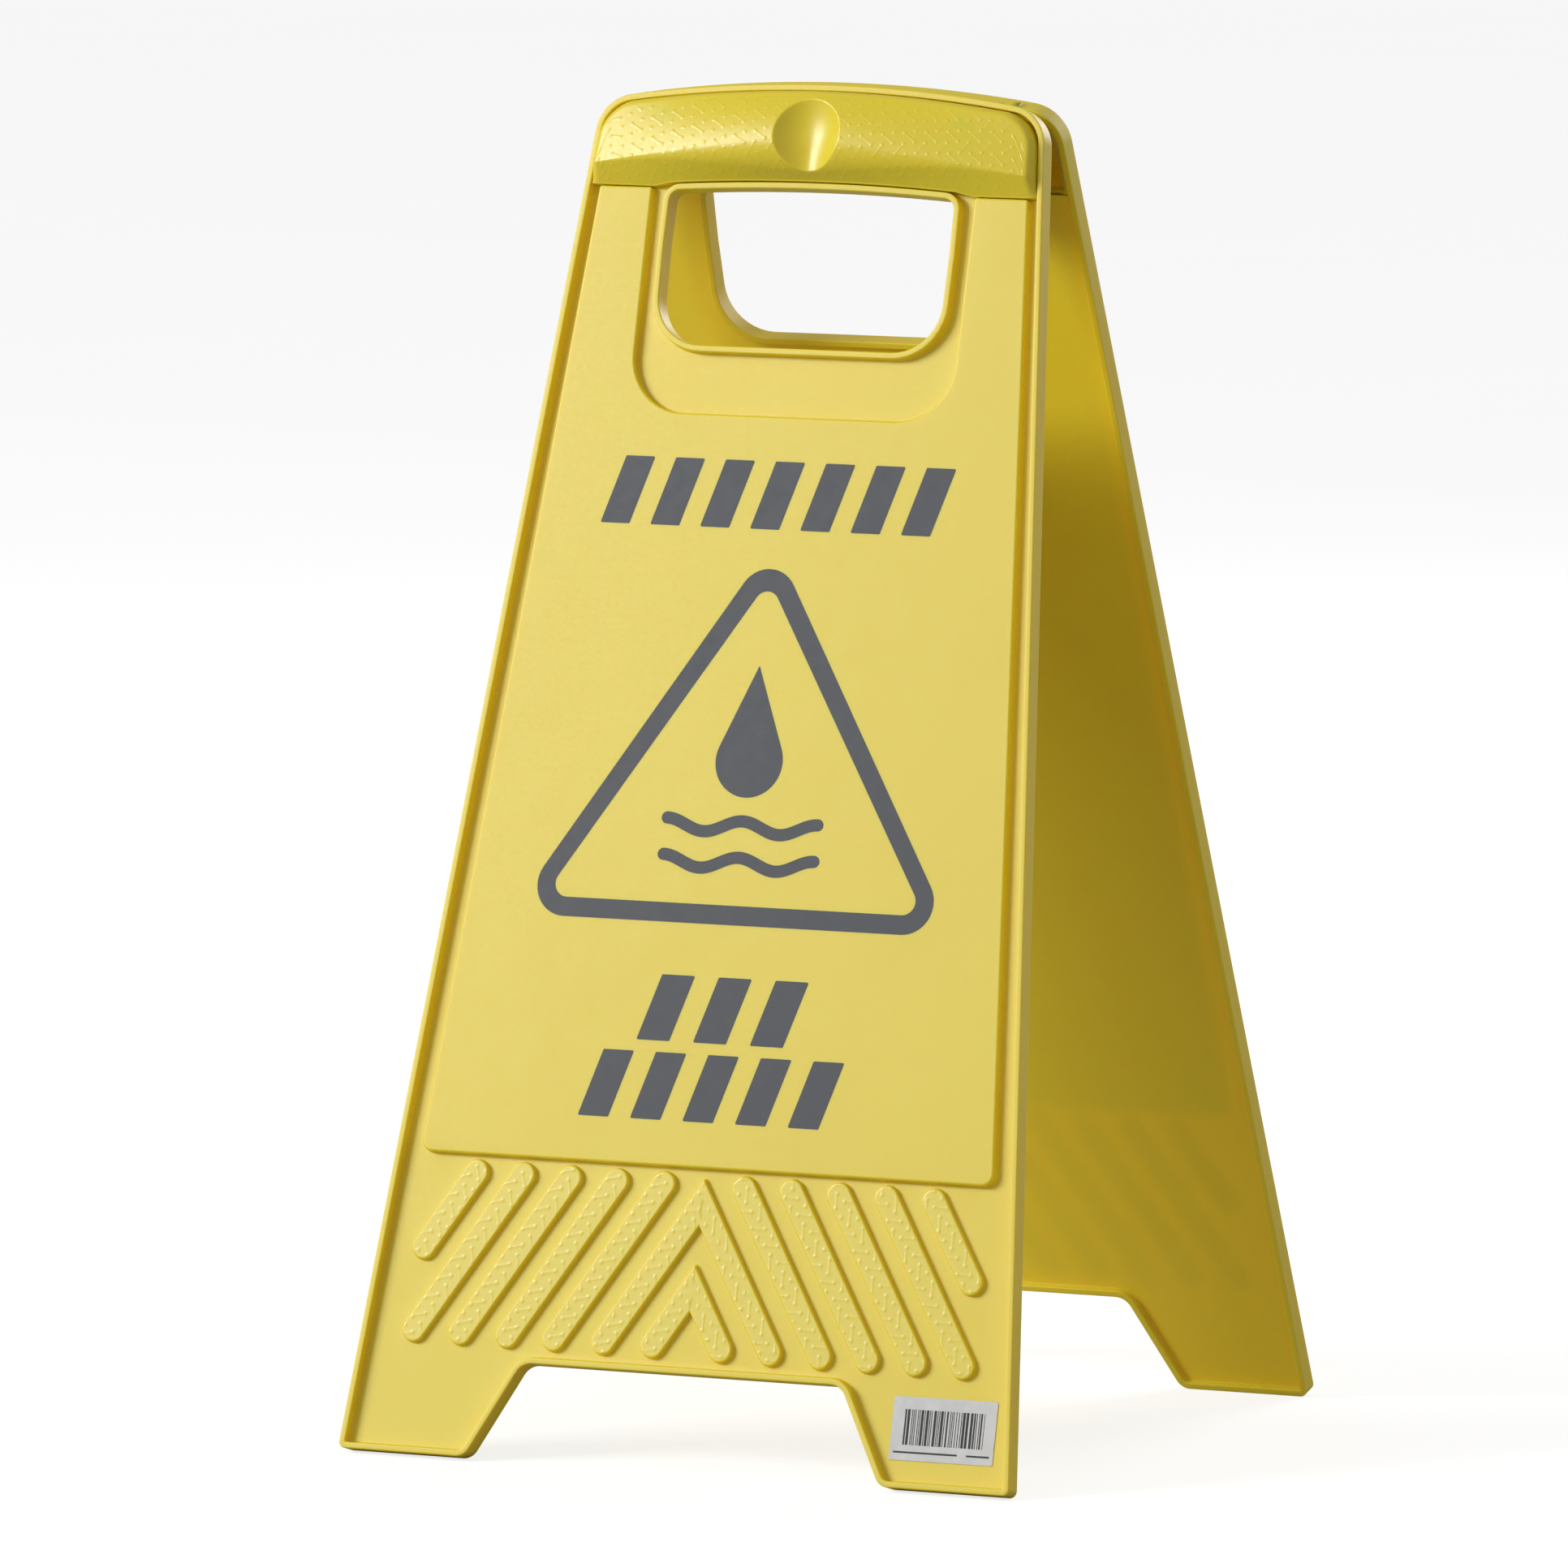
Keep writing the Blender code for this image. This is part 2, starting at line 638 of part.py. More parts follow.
# ---------------------------------------------------------------- small pieces

def screw(name, place, group, cutters, mat):
    """Pan head screw, driven outwards through the web into the grip's boss."""
    x, y = place
    head_z = out(INNER_FLOOR) - 0.1 * MM - SCREW_HEAD_T
    body = rod(name, SCREW_HEAD_R, SCREW_HEAD_T, (x, y, head_z))
    shank = rod("shank", SCREW_R, SCREW_LENGTH, (x, y, head_z + SCREW_HEAD_T / 2))
    combine(body, shank, "UNION", cutters)
    slots = ((0.5 * MM, 2.0 * MM), (2.0 * MM, 0.5 * MM))
    for wide, tall in slots:
        slot = box("driver_slot", (x - wide, y - tall, head_z - 1 * MM),
                   (x + wide, y + tall, head_z + 0.9 * MM))
        combine(body, slot, "DIFFERENCE", cutters)
    body.name = name
    return finish(body, group, mat)


def pin(name, side, group, cutters, mat):
    """Headed hinge pin, with its head on the outer face of the pair of ears."""
    reach = EAR_T + EAR_GAP / 2
    outer = EAR_X + reach + 0.3 * MM
    axis = "-X" if side > 0 else "X"
    length = 2 * reach + 0.6 * MM + CAP_T - CAP_FLOOR - 0.3 * MM
    body = rod(name, PIN_HEAD_R, PIN_HEAD_T, (side * (outer + PIN_HEAD_T), 0, 0), axis)
    shank = rod("shank", PIN_R, length + 1 * MM, (side * (outer + 1 * MM), 0, 0), axis)
    combine(body, shank, "UNION", cutters)
    body.name = name
    return finish(body, group, mat)


def cap(name, side, group, cutters, mat):
    """Push-on cap that keeps the pin in its ears."""
    start = EAR_X - EAR_T - EAR_GAP / 2 - 0.3 * MM
    axis = "-X" if side > 0 else "X"
    body = rod(name, CAP_R, CAP_T, (side * start, 0, 0), axis)
    bore = rod("cap_bore", PIN_R + FIT_CLEAR, CAP_T - CAP_FLOOR + 1 * MM,
               (side * (start + 1 * MM), 0, 0), axis)
    combine(body, bore, "DIFFERENCE", cutters)
    body.name = name
    return finish(body, group, mat)


def label(name, group, mat):
    low = out(OUTER_FLOOR + 0.1 * MM)
    half_w, half_h = LABEL_W / 2, LABEL_H / 2
    corners = [(half_w, half_h, 0.8 * MM), (half_w, -half_h, 0.8 * MM)]
    outline = [Matrix.Rotation(LABEL_TURN, 2) @ p + Vector((LABEL_X, down(LABEL_DOWN)))
               for p in rounded(mirrored(corners), 3)]
    return finish(slab(name, [outline], low, low + LABEL_T), group, mat)


# ---------------------------------------------------------------- assembly

def panel_frame(name, group, turn):
    """Empty on the hinge axis that leans and turns one panel."""
    frame = bpy.data.objects.new(name, None)
    frame.location = (0, 0, AXIS_Z)
    frame.rotation_euler = (math.radians(90) - TILT, 0, turn)
    group.objects.link(frame)
    return frame


def build_side(side, turn, group, cutters, mats):
    frame = panel_frame(side + "_frame", group, turn)
    pieces = [panel(side + "_panel", group, cutters, mats["panel"]),
              grip(side + "_grip", group, cutters, mats["grip"])]
    for number, place in enumerate(screw_places(), 1):
        name = "%s_grip_screw_%d" % (side, number)
        pieces.append(screw(name, place, group, cutters, mats["screw"]))
    if side == "front":
        for sign, hand in ((-1, "left"), (1, "right")):
            pieces.append(pin("hinge_pin_" + hand, sign, group, cutters, mats["pin"]))
            pieces.append(cap("pin_cap_" + hand, sign, group, cutters, mats["cap"]))
        pieces.append(label("stock_label", group, mats["label"]))
    for piece in pieces:
        piece.parent = frame


def main():
    clear_scene()
    group = collection("wet_floor_sign")
    cutters = collection("cutters")
    cutters.hide_render = True
    mats = {
        "panel": material("panel_yellow", YELLOW, 0.42),
        "grip": material("grip_yellow", GRIP_YELLOW, 0.38),
        "screw": material("zinc_screw", (0.62, 0.63, 0.65), 0.35, 1.0),
        "pin": material("steel_pin", (0.55, 0.56, 0.58), 0.30, 1.0),
        "cap": material("black_cap", (0.05, 0.05, 0.055), 0.50),
        "label": material("label_paper", (0.56, 0.56, 0.56), 0.60),
    }
    build_side("front", 0.0, group, cutters, mats)
    build_side("rear", math.pi, group, cutters, mats)


main()
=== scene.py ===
"""Looks of the folding wet floor sign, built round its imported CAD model.

Each panel is modelled in its own drawing frame, whose origin lies on the hinge axis: X runs
across the panel, Y up it and Z out of its face.  "Down" distances are measured down the panel
from the crest, the line where the two inner faces would meet.  Metres throughout.
"""
import json
import math
import random

import bmesh
import bpy
from mathutils import Matrix, Vector


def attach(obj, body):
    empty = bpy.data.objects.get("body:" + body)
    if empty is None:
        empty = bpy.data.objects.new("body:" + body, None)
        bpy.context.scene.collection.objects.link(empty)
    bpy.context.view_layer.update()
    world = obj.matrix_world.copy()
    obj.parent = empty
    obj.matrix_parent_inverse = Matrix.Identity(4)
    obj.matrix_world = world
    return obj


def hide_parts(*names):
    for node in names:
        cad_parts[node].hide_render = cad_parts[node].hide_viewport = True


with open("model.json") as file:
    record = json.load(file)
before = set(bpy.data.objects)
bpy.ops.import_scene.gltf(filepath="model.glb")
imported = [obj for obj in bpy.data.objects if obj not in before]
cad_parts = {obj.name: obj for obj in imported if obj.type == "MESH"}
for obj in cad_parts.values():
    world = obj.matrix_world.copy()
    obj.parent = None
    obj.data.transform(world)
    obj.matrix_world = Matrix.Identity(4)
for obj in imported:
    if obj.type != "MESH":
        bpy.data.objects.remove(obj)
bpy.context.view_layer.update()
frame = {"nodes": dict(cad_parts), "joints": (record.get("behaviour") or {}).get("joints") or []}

MM = 0.001
TILT = math.radians(15.0)

# Panel moulding
PANEL_T = 9.36 * MM
CREST_HALF = 105.5 * MM
SIDE_SLOPE = 0.0893
FOOT_DOWN = 610.5 * MM
ARCH_DOWN = 0.95 * MM
ARCH_R = 640 * MM
ARCH_POINTS_MM = range(4, 89, 6)
SHOULDER_R = 18.3 * MM
SHOULDER_OUT = 1.5 * MM
RIM = 2.85 * MM
INNER_FLOOR = 3.15 * MM
OUTER_FLOOR = 4.75 * MM
FOOT_R = 3.0 * MM
FOOT_R_LEAST = 0.8 * MM
FOOT_INNER_R = 7.0 * MM
FOOT_INNER_R_LEAST = 2.0 * MM
ARCHWAY_R = 8.0 * MM
ARCHWAY_DOWN = 568.1 * MM
ARCHWAY_TOP_HALF = 76.0 * MM
ARCHWAY_FOOT_HALF = 98.9 * MM
PAD_TOP = 8.75 * MM
PAD_DOWN_TOP = 48.6 * MM
PAD_DOWN_FOOT = 478.2 * MM
PAD_HALF = 98.9 * MM
PAD_SLOPE = 0.0793
PAD_EDGE = 1.0 * MM
PAD_TOP_R = 1.2 * MM
PAD_FOOT_R = 5.0 * MM
SCOOP_HALF = 77.4 * MM
SCOOP_DOWN = 148.3 * MM
SCOOP_R = 26 * MM
SCOOP_NARROW = 0.6 * MM
HOLE_HALF = 68.2 * MM
HOLE_DOWN_TOP = 47.4 * MM
HOLE_DOWN_FOOT = 118.1 * MM
HOLE_R_TOP = 5.0 * MM
HOLE_R_FOOT = 22.0 * MM
HOLE_ARCH_R = 960 * MM
HOLE_POINTS_MM = range(6, 58, 10)
HOLE_BULGE = 0.3 * MM
HOLE_BULGE_DOWN = 75 * MM
HOLE_NARROW = 0.6 * MM
COLLAR = 2.85 * MM

# Raised chevron bars
BAR_R = 5.5 * MM
BAR_TOP = 7.3 * MM
BAR_DOWN_TOP = 486 * MM
BAR_DOWN_FOOT = 556.3 * MM
BAR_SLOPE = 0.63
BAR_FIRST = 19.2 * MM
BAR_PITCH = 22.5 * MM
BAR_COUNT = 4
SHORT_BAR_FOOT = 520 * MM
VEE_APEXES = (530.5 * MM, 493.1 * MM)
BAR_STEP = 0.45 * MM
BAR_ROWS = 30
BAR_FADE = 0.9 * MM

# Grip insert
GRIP_GAP = 0.35 * MM
GRIP_WALL = 2.2 * MM
GRIP_SEAT = 5.05 * MM
GRIP_BACK = 8.2 * MM
GRIP_END = 15.1 * MM
GRIP_MID = 22.8 * MM
GRIP_TOE = 9.2 * MM
GRIP_CORNER = 15.0 * MM
GRIP_CORNER_DROP = 2.4 * MM
GRIP_END_DOWN = 20 * MM
GRIP_SIDE_DOWN = 44 * MM
GRIP_FOOT_EASE = 8 * MM
GRIP_EDGE = 3.4 * MM
GRIP_EDGE_STEPS = 8
GRIP_ROWS = 124
GRIP_INSIDE_ROWS = 30
GRIP_INSIDE_COLUMNS = 60
CREASE_R_END = 0.8 * MM
CREASE_R_MID = 16.7 * MM
CREST_R_UP = 32 * MM
CREST_LEAN = 0.07
FALL_END = 36  # degrees
FALL_GAIN = 24  # degrees more in the middle
TOE_EDGE = 0.45 * MM
TOE_DOWN_MID = 44.2 * MM
TOE_DOWN_END = 48.3 * MM
DISH_DOWN = 24.9 * MM
DISH_R = 15.75 * MM
DISH_DROP = 1.5 * MM
DISH_SOFT = 0.4 * MM
DISH_REACH = 1.25 * DISH_R

# Hinge ears, and the webs behind the grip
HALF_GAP = 4.0 * MM
EAR_R = 5.5 * MM
EAR_T = 4.0 * MM
EAR_GAP = 0.4 * MM
EAR_X = 84.0 * MM
EAR_BASE = 9.5 * MM
EAR_ROOT = 0.4 * MM
EAR_ARC_START = 190  # degrees
EAR_ARC = 160  # degrees
EAR_ARC_STEPS = 24
PIN_R = 2.08 * MM
BRIDGE_IN = 62 * MM
BRIDGE_OUT = 90 * MM
BRIDGE_STEPS = 6
WINDOW_FOOT = 47.9 * MM
WINDOW_SLANT = 1.004  # length of the leaning side edge for each unit down
LEDGE = 1.1 * MM
SCREW_X = 70 * MM
SCREW_DOWNS = (20 * MM, 38 * MM)
BOSS_R = 4.0 * MM
BOSS_CHAMFER = 0.4 * MM
BOSS_UNDER = 0.9 * MM
ROUND_SIDES = 32

# Stock label
LABEL_W = 48.7 * MM
LABEL_H = 27.5 * MM
LABEL_X = 124.5 * MM
LABEL_DOWN = 584.1 * MM
LABEL_TURN = math.radians(0.3)
LABEL_CORNER_R = 0.8 * MM
LABEL_LIFT = 0.1 * MM
LABEL_T = 0.22 * MM
LABEL_MARGIN_LEFT = 5.8 * MM
LABEL_MARGIN_RIGHT = 5.4 * MM
LABEL_BARS_TOP = 5.4 * MM
LABEL_BARS_FOOT = 20.8 * MM
# Widths to draw from, in mm. A width that is there twice comes up twice as often.
LABEL_BAR_WIDTHS = (0.40, 0.40, 0.80, 1.20)
LABEL_BAR_GAPS = (0.40, 0.40, 0.80)
LABEL_RULE_LOW = 3.1 * MM
LABEL_RULE_HIGH = 3.9 * MM
LABEL_RULES = ((1.8 * MM - LABEL_W / 2, 30 * MM), (LABEL_W / 2 - 12.5 * MM, 10.7 * MM))

AXIS_DOWN = HALF_GAP / math.tan(TILT)
AXIS = Vector(frame["joints"][0]["pos_m"])
SIDES = {"front": Matrix.Translation(AXIS) @ Matrix.Rotation(math.pi / 2 - TILT, 4, "X"),
         "rear": Matrix.Translation(AXIS) @ Matrix.Rotation(math.pi, 4, "Z")
         @ Matrix.Rotation(math.pi / 2 - TILT, 4, "X")}


# ---------------------------------------------------------------- outlines in the panel frame

def down(distance):
    return AXIS_DOWN - distance


def out(height):
    return HALF_GAP + height


def side_half(distance):
    return CREST_HALF + SIDE_SLOPE * distance


def arch_down(x, inset=0.0):
    radius = ARCH_R - inset
    return ARCH_DOWN + inset + radius - math.sqrt(radius * radius - x * x)


def rounded(corners, steps=10):
    """Closed outline through (x, y, radius) corners, with an arc at each rounded one."""
    points = []
    count = len(corners)
    for i, (x, y, radius) in enumerate(corners):
        corner = Vector((x, y))
        if radius <= 0:
            points.append(corner)
            continue
        before = Vector(corners[i - 1][:2])
        after = Vector(corners[(i + 1) % count][:2])
        points += corner_arc(before, corner, after, radius, steps)
    return points


def corner_arc(before, corner, after, radius, steps):
    to_before = (before - corner).normalized()
    to_after = (after - corner).normalized()
    half = to_before.angle(to_after) / 2
    centre = corner + (to_before + to_after).normalized() * radius / math.sin(half)
    start = corner + to_before * radius / math.tan(half) - centre
    end = corner + to_after * radius / math.tan(half) - centre
    sweep = math.atan2(start.x * end.y - start.y * end.x, start.dot(end))
    return [centre + Matrix.Rotation(sweep * k / steps, 2) @ start for k in range(steps + 1)]


def circle(count):
    return [(math.cos(math.tau * k / count), math.sin(math.tau * k / count))
            for k in range(count)]


def section(points, steps=3):
    """Rounded edge section through (offset, height, radius) points, without its two ends."""
    path = []
    for before, corner, after in zip(points, points[1:], points[2:]):
        path += corner_arc(Vector(before[:2]), Vector(corner[:2]), Vector(after[:2]),
                           corner[2], steps)
    return path


def mirrored(half):
    return half + [(-x, y, r) for x, y, r in reversed(half)]


def panel_outline(inset):
    arch = [(x * MM, down(arch_down(x * MM, inset)), 0.0) for x in ARCH_POINTS_MM]
    narrow = inset / math.cos(math.atan(SIDE_SLOPE))
    shoulder_down = arch_down(CREST_HALF + SHOULDER_OUT - narrow, inset)
    shoulder = (side_half(shoulder_down) - narrow, down(shoulder_down), SHOULDER_R - inset)
    foot_down = FOOT_DOWN - inset
    outer = (side_half(foot_down) - narrow, down(foot_down), max(FOOT_R - inset, FOOT_R_LEAST))
    rise = FOOT_DOWN - ARCHWAY_DOWN
    slant = (ARCHWAY_FOOT_HALF - ARCHWAY_TOP_HALF) / rise
    shift = inset * math.hypot(1, slant)
    inner_x = ARCHWAY_TOP_HALF + slant * (foot_down - ARCHWAY_DOWN) + shift
    top_x = ARCHWAY_TOP_HALF - slant * inset + shift
    inner = (inner_x, down(foot_down), max(FOOT_INNER_R - inset, FOOT_INNER_R_LEAST))
    top = (top_x, down(ARCHWAY_DOWN - inset), ARCHWAY_R + inset)
    return rounded(mirrored(arch + [shoulder, outer, inner, top]))


def hole_top(x, grow):
    radius = HOLE_ARCH_R + grow
    return HOLE_DOWN_TOP - grow + radius - math.sqrt(radius * radius - x * x)


def hole_outline(grow):
    half = HOLE_HALF + grow
    right = [(x * MM, down(hole_top(x * MM, grow)), 0.0) for x in HOLE_POINTS_MM]
    right.append((half, down(hole_top(half, grow)), HOLE_R_TOP + grow))
    right.append((half + HOLE_BULGE, down(HOLE_BULGE_DOWN), 0.0))
    right.append((half - HOLE_NARROW, down(HOLE_DOWN_FOOT + grow), HOLE_R_FOOT + grow))
    return rounded(mirrored(right))


def pad_outline(grow):
    top = down(PAD_DOWN_TOP - grow)
    foot = down(PAD_DOWN_FOOT + grow)
    narrow = grow / math.cos(math.atan(PAD_SLOPE))
    half_top = PAD_HALF + PAD_SLOPE * (PAD_DOWN_TOP - grow) + narrow
    half_foot = PAD_HALF + PAD_SLOPE * (PAD_DOWN_FOOT + grow) + narrow
    scoop = down(SCOOP_DOWN - grow)
    half = SCOOP_HALF - grow
    right = [(half - SCOOP_NARROW, scoop, SCOOP_R - grow), (half, top, PAD_TOP_R + grow),
             (half_top, top, PAD_TOP_R + grow), (half_foot, foot, PAD_FOOT_R + grow)]
    return rounded(mirrored(right))


def window_outlines():
    """Openings in the web behind the grip, left of, between and right of the bridges."""
    inset = RIM + LEDGE
    xs = [BRIDGE_IN * k / BRIDGE_STEPS for k in range(-BRIDGE_STEPS, BRIDGE_STEPS + 1)]
    middle = [Vector((x, down(arch_down(x, inset)))) for x in xs]
    middle += [Vector((x, down(hole_top(x, COLLAR + LEDGE)))) for x in reversed(xs)]
    edge = [p for p in panel_outline(inset) if p.x > BRIDGE_OUT and p.y > down(WINDOW_FOOT)]
    foot_half = side_half(WINDOW_FOOT) - inset * WINDOW_SLANT
    right = [Vector((BRIDGE_OUT, down(arch_down(BRIDGE_OUT, inset))))] + edge
    right += [Vector((foot_half, down(WINDOW_FOOT))), Vector((BRIDGE_OUT, down(WINDOW_FOOT)))]
    left = [Vector((-p.x, p.y)) for p in right]
    return [left, middle, right]


# ---------------------------------------------------------------- mesh helpers

WELD = 0.001 * MM
LEVEL_SLACK = 0.01 * MM


def ring(bm, outline, height):
    return [bm.verts.new((p.x, p.y, out(height))) for p in outline]


def bridge(bm, a, b, closed=True):
    count = len(a)
    for i in range(count if closed else count - 1):
        j = (i + 1) % count
        bm.faces.new((a[i], a[j], b[j], b[i]))


def sweep(bm, outline_at, path):
    """Surface whose section follows the path of (offset, height) round an outline."""
    rings = [ring(bm, outline_at(p.x), p.y) for p in path]
    for a, b in zip(rings, rings[1:]):
        bridge(bm, a, b)


def fill_levels(bm, levels):
    """Close the flat faces that the open edges at these levels surround."""
    bmesh.ops.remove_doubles(bm, verts=bm.verts, dist=WELD)
    for level in levels:
        z = out(level)
        edges = [e for e in bm.edges
                 if e.is_boundary and all(abs(v.co.z - z) < LEVEL_SLACK for v in e.verts)]
        bmesh.ops.triangle_fill(bm, edges=edges, use_beauty=True, normal=(0, 0, 1))


def to_object(bm, name, side, mat, smooth=True):
    """Finished mesh as an object that rides on its panel's body."""
    bmesh.ops.recalc_face_normals(bm, faces=bm.faces)
    mesh = bpy.data.meshes.new(name)
    bm.to_mesh(mesh)
    bm.free()
    if smooth:
        mesh.shade_smooth()
    mesh.transform(SIDES[side])
    mesh.materials.append(mat)
    obj = bpy.data.objects.new(name, mesh)
    bpy.context.scene.collection.objects.link(obj)
    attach(obj, side + "_half")
    return obj


def weigh_normals(obj):
    change = obj.modifiers.new("even_shading", "WEIGHTED_NORMAL")
    change.mode = "FACE_AREA"
    change.weight = 100
    change.keep_sharp = True


# ---------------------------------------------------------------- tread marks

MARK_PITCH = 10.0 * MM
MARK_HALF = 3.1 * MM
MARK_END_R = 0.85 * MM
MARK_STEM_R = 0.36 * MM
MARK_STEM = 0.62  # share of the full height
MARK_FADE_FROM = 2  # grid steps from the edge
MARK_FADE_OVER = 4
GRIP_MARK = 0.13 * MM
BAR_MARK = 0.11 * MM
GRIP_TURN = math.radians(10.5)
BAR_TURNS = (math.radians(45), math.radians(31))


def dumbbell(x, y):
    """Share of full height of one mark, along X: a thin stem with two round ends."""
    beyond = abs(x) - MARK_HALF
    end = max(0.0, 1 - (beyond * beyond + y * y) / (MARK_END_R * MARK_END_R))
    stem = 0.0
    if beyond < 0:
        stem = MARK_STEM * max(0.0, 1 - (y / MARK_STEM_R) ** 2)
    return max(math.sqrt(end), stem)


def tread(x, y, turn):
    """Share of full height of the tread: marks that lean two ways, on a turned square lattice."""
    u = (x * math.cos(turn) + y * math.sin(turn)) / MARK_PITCH
    v = (y * math.cos(turn) - x * math.sin(turn)) / MARK_PITCH
    height = 0.0
    for shift, lean in ((0.0, 1), (0.5, -1)):
        near_u = (u - shift - round(u - shift)) * MARK_PITCH
        near_v = (v - shift - round(v - shift)) * MARK_PITCH
        along = (near_u + lean * near_v) * math.sqrt(0.5)
        across = (near_v - lean * near_u) * math.sqrt(0.5)
        height = max(height, dumbbell(along, across))
    return height


# ---------------------------------------------------------------- panel

def wall_section(width):
    """Section of a raised wall: in along the inner floor, over the wall and out again."""
    return section([(6 * MM, INNER_FLOOR, 0), (width + 0.10 * MM, INNER_FLOOR, 0.5 * MM),
                    (width, 0, 0.45 * MM), (0, 0, 0.5 * MM), (0, PANEL_T, 0.6 * MM),
                    (width - 0.1 * MM, PANEL_T, 0.5 * MM),
                    (width + 0.2 * MM, OUTER_FLOOR, 0.7 * MM), (6 * MM, OUTER_FLOOR, 0)])


RIM_SECTION = wall_section(RIM)
HOLE_SECTION = wall_section(COLLAR)
PAD_SECTION = section([(6 * MM, OUTER_FLOOR, 0), (0.15 * MM, OUTER_FLOOR, 0.7 * MM),
                       (0, PAD_TOP, PAD_EDGE), (-6 * MM, PAD_TOP, 0)], 4)
BAR_SECTION = section([(-4 * MM, BAR_TOP, 0), (0, BAR_TOP, 0.7 * MM),
                       (0.12 * MM, OUTER_FLOOR, 0.45 * MM), (4 * MM, OUTER_FLOOR, 0)])


def bar_point(i, j, grow, shape):
    """Plan position of a bar's grid point (i along, j across), with the edge grown."""
    start, along, across, length, mitred, n_long, n_wide = shape
    radius = BAR_R + grow
    t = radius * math.cos(math.pi * j / n_wide)
    cap = math.sqrt(max(radius * radius - t * t, 0.0))
    first = -t * across.x / along.x if mitred else -cap
    s = first + (length + cap - first) * i / n_long
    return start + along * s + across * t, s, t


def raised_bar(bm, start, end, turn, mitred=False):
    """Raised bar with tread marks on top; a mitred one starts at the panel's centre line."""
    a = Vector((start[0], down(start[1])))
    b = Vector((end[0], down(end[1])))
    along = (b - a).normalized()
    across = Vector((-along.y, along.x))
    length = (b - a).length
    n_long = max(8, round(length / BAR_STEP))
    n_wide = BAR_ROWS
    shape = (a, along, across, length, mitred, n_long, n_wide)
    top = BAR_SECTION[0].x
    grid = []
    for i in range(n_long + 1):
        row = []
        for j in range(n_wide + 1):
            place, s, t = bar_point(i, j, top, shape)
            fade = min(1.0, max(0.0, (BAR_R + top - abs(t)) / BAR_FADE))
            lift = fade * BAR_MARK * tread(place.x, place.y, turn)
            row.append(bm.verts.new((place.x, place.y, out(BAR_TOP) + lift)))
        grid.append(row)
    for i in range(n_long):
        for j in range(n_wide):
            face = bm.faces.new((grid[i][j], grid[i + 1][j], grid[i + 1][j + 1],
                                 grid[i][j + 1]))
            face.material_index = 1
    border = [(i, 0) for i in range(n_long + 1)]
    border += [(n_long, j) for j in range(1, n_wide)]
    border += [(i, n_wide) for i in range(n_long, -1, -1)]
    if not mitred:
        border += [(0, j) for j in range(n_wide - 1, 0, -1)]
    rings = [[grid[i][j] for i, j in border]]
    for p in BAR_SECTION[1:]:
        rings.append([bm.verts.new((*bar_point(i, j, p.x, shape)[0], out(p.y)))
                      for i, j in border])
    for inner, outer in zip(rings, rings[1:]):
        bridge(bm, inner, outer, closed=not mitred)


def chevrons(bm):
    """Both halves of the bars, the left one a mirror image with its own turn of the tread."""
    for sign, turn in zip((1, -1), BAR_TURNS):
        half = bmesh.new()
        half_chevrons(half, turn)
        mesh = bpy.data.meshes.new("half_chevrons")
        half.to_mesh(mesh)
        half.free()
        mesh.transform(Matrix.Scale(sign, 4, (1, 0, 0)))
        bm.from_mesh(mesh)
        bpy.data.meshes.remove(mesh)


def half_chevrons(bm, turn):
    """Slanted bars on the right, the last one short, and half of each mitred vee."""
    for i in range(BAR_COUNT + 1):
        top = BAR_FIRST + BAR_PITCH * i
        foot_down = BAR_DOWN_FOOT if i < BAR_COUNT else SHORT_BAR_FOOT
        foot = top + BAR_SLOPE * (foot_down - BAR_DOWN_TOP)
        raised_bar(bm, (top, BAR_DOWN_TOP), (foot, foot_down), turn)
    for apex in VEE_APEXES:
        reach = BAR_SLOPE * (BAR_DOWN_FOOT - apex)
        raised_bar(bm, (0.0, apex), (reach, BAR_DOWN_FOOT), turn, mitred=True)


def ear(bm, x_low, x_high):
    """Hinge ear: a lobe round the axis on a wide root, bored for the pin."""
    root = out(INNER_FLOOR + EAR_ROOT)
    reach = min(EAR_BASE, AXIS_DOWN - arch_down(0, RIM) - EAR_ROOT)
    outline = [Vector((reach, root)), Vector((-EAR_BASE, root))]
    lobe = [math.radians(EAR_ARC_START + EAR_ARC * k / EAR_ARC_STEPS)
            for k in range(EAR_ARC_STEPS + 1)]
    outline += [Vector((math.cos(a), math.sin(a))) * EAR_R for a in lobe]
    bore = [Vector(place) * PIN_R for place in circle(ROUND_SIDES)]
    ends = []
    for x in (x_low, x_high):
        loops = []
        for loop in (outline, bore):
            verts = [bm.verts.new((x, p.x, p.y)) for p in loop]
            edges = [bm.edges.new((verts[i - 1], verts[i])) for i in range(len(verts))]
            loops.append((verts, edges))
        edges = [e for _, part in loops for e in part]
        bmesh.ops.triangle_fill(bm, edges=edges, use_beauty=True, normal=(1, 0, 0))
        ends.append([verts for verts, _ in loops])
    for a, b in zip(*ends):
        bridge(bm, a, b)


def build_panel(side, mat, tread_mat):
    """Panel moulding: rim, hand hole, pad, webs, bars and hinge ears."""
    bm = bmesh.new()
    sweep(bm, panel_outline, RIM_SECTION)
    sweep(bm, hole_outline, HOLE_SECTION)
    sweep(bm, pad_outline, PAD_SECTION)
    for window in window_outlines():
        bridge(bm, ring(bm, window, INNER_FLOOR), ring(bm, window, OUTER_FLOOR))
    chevrons(bm)
    fill_levels(bm, (INNER_FLOOR, OUTER_FLOOR, PAD_TOP))
    near = EAR_GAP / 2
    ear(bm, -EAR_X - near - EAR_T, -EAR_X - near)
    ear(bm, EAR_X - near - EAR_T, EAR_X - near)
    obj = to_object(bm, side + "_panel_moulding", side, mat)
    obj.data.materials.append(tread_mat)
    weigh_normals(obj)
    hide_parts(side + "_panel")


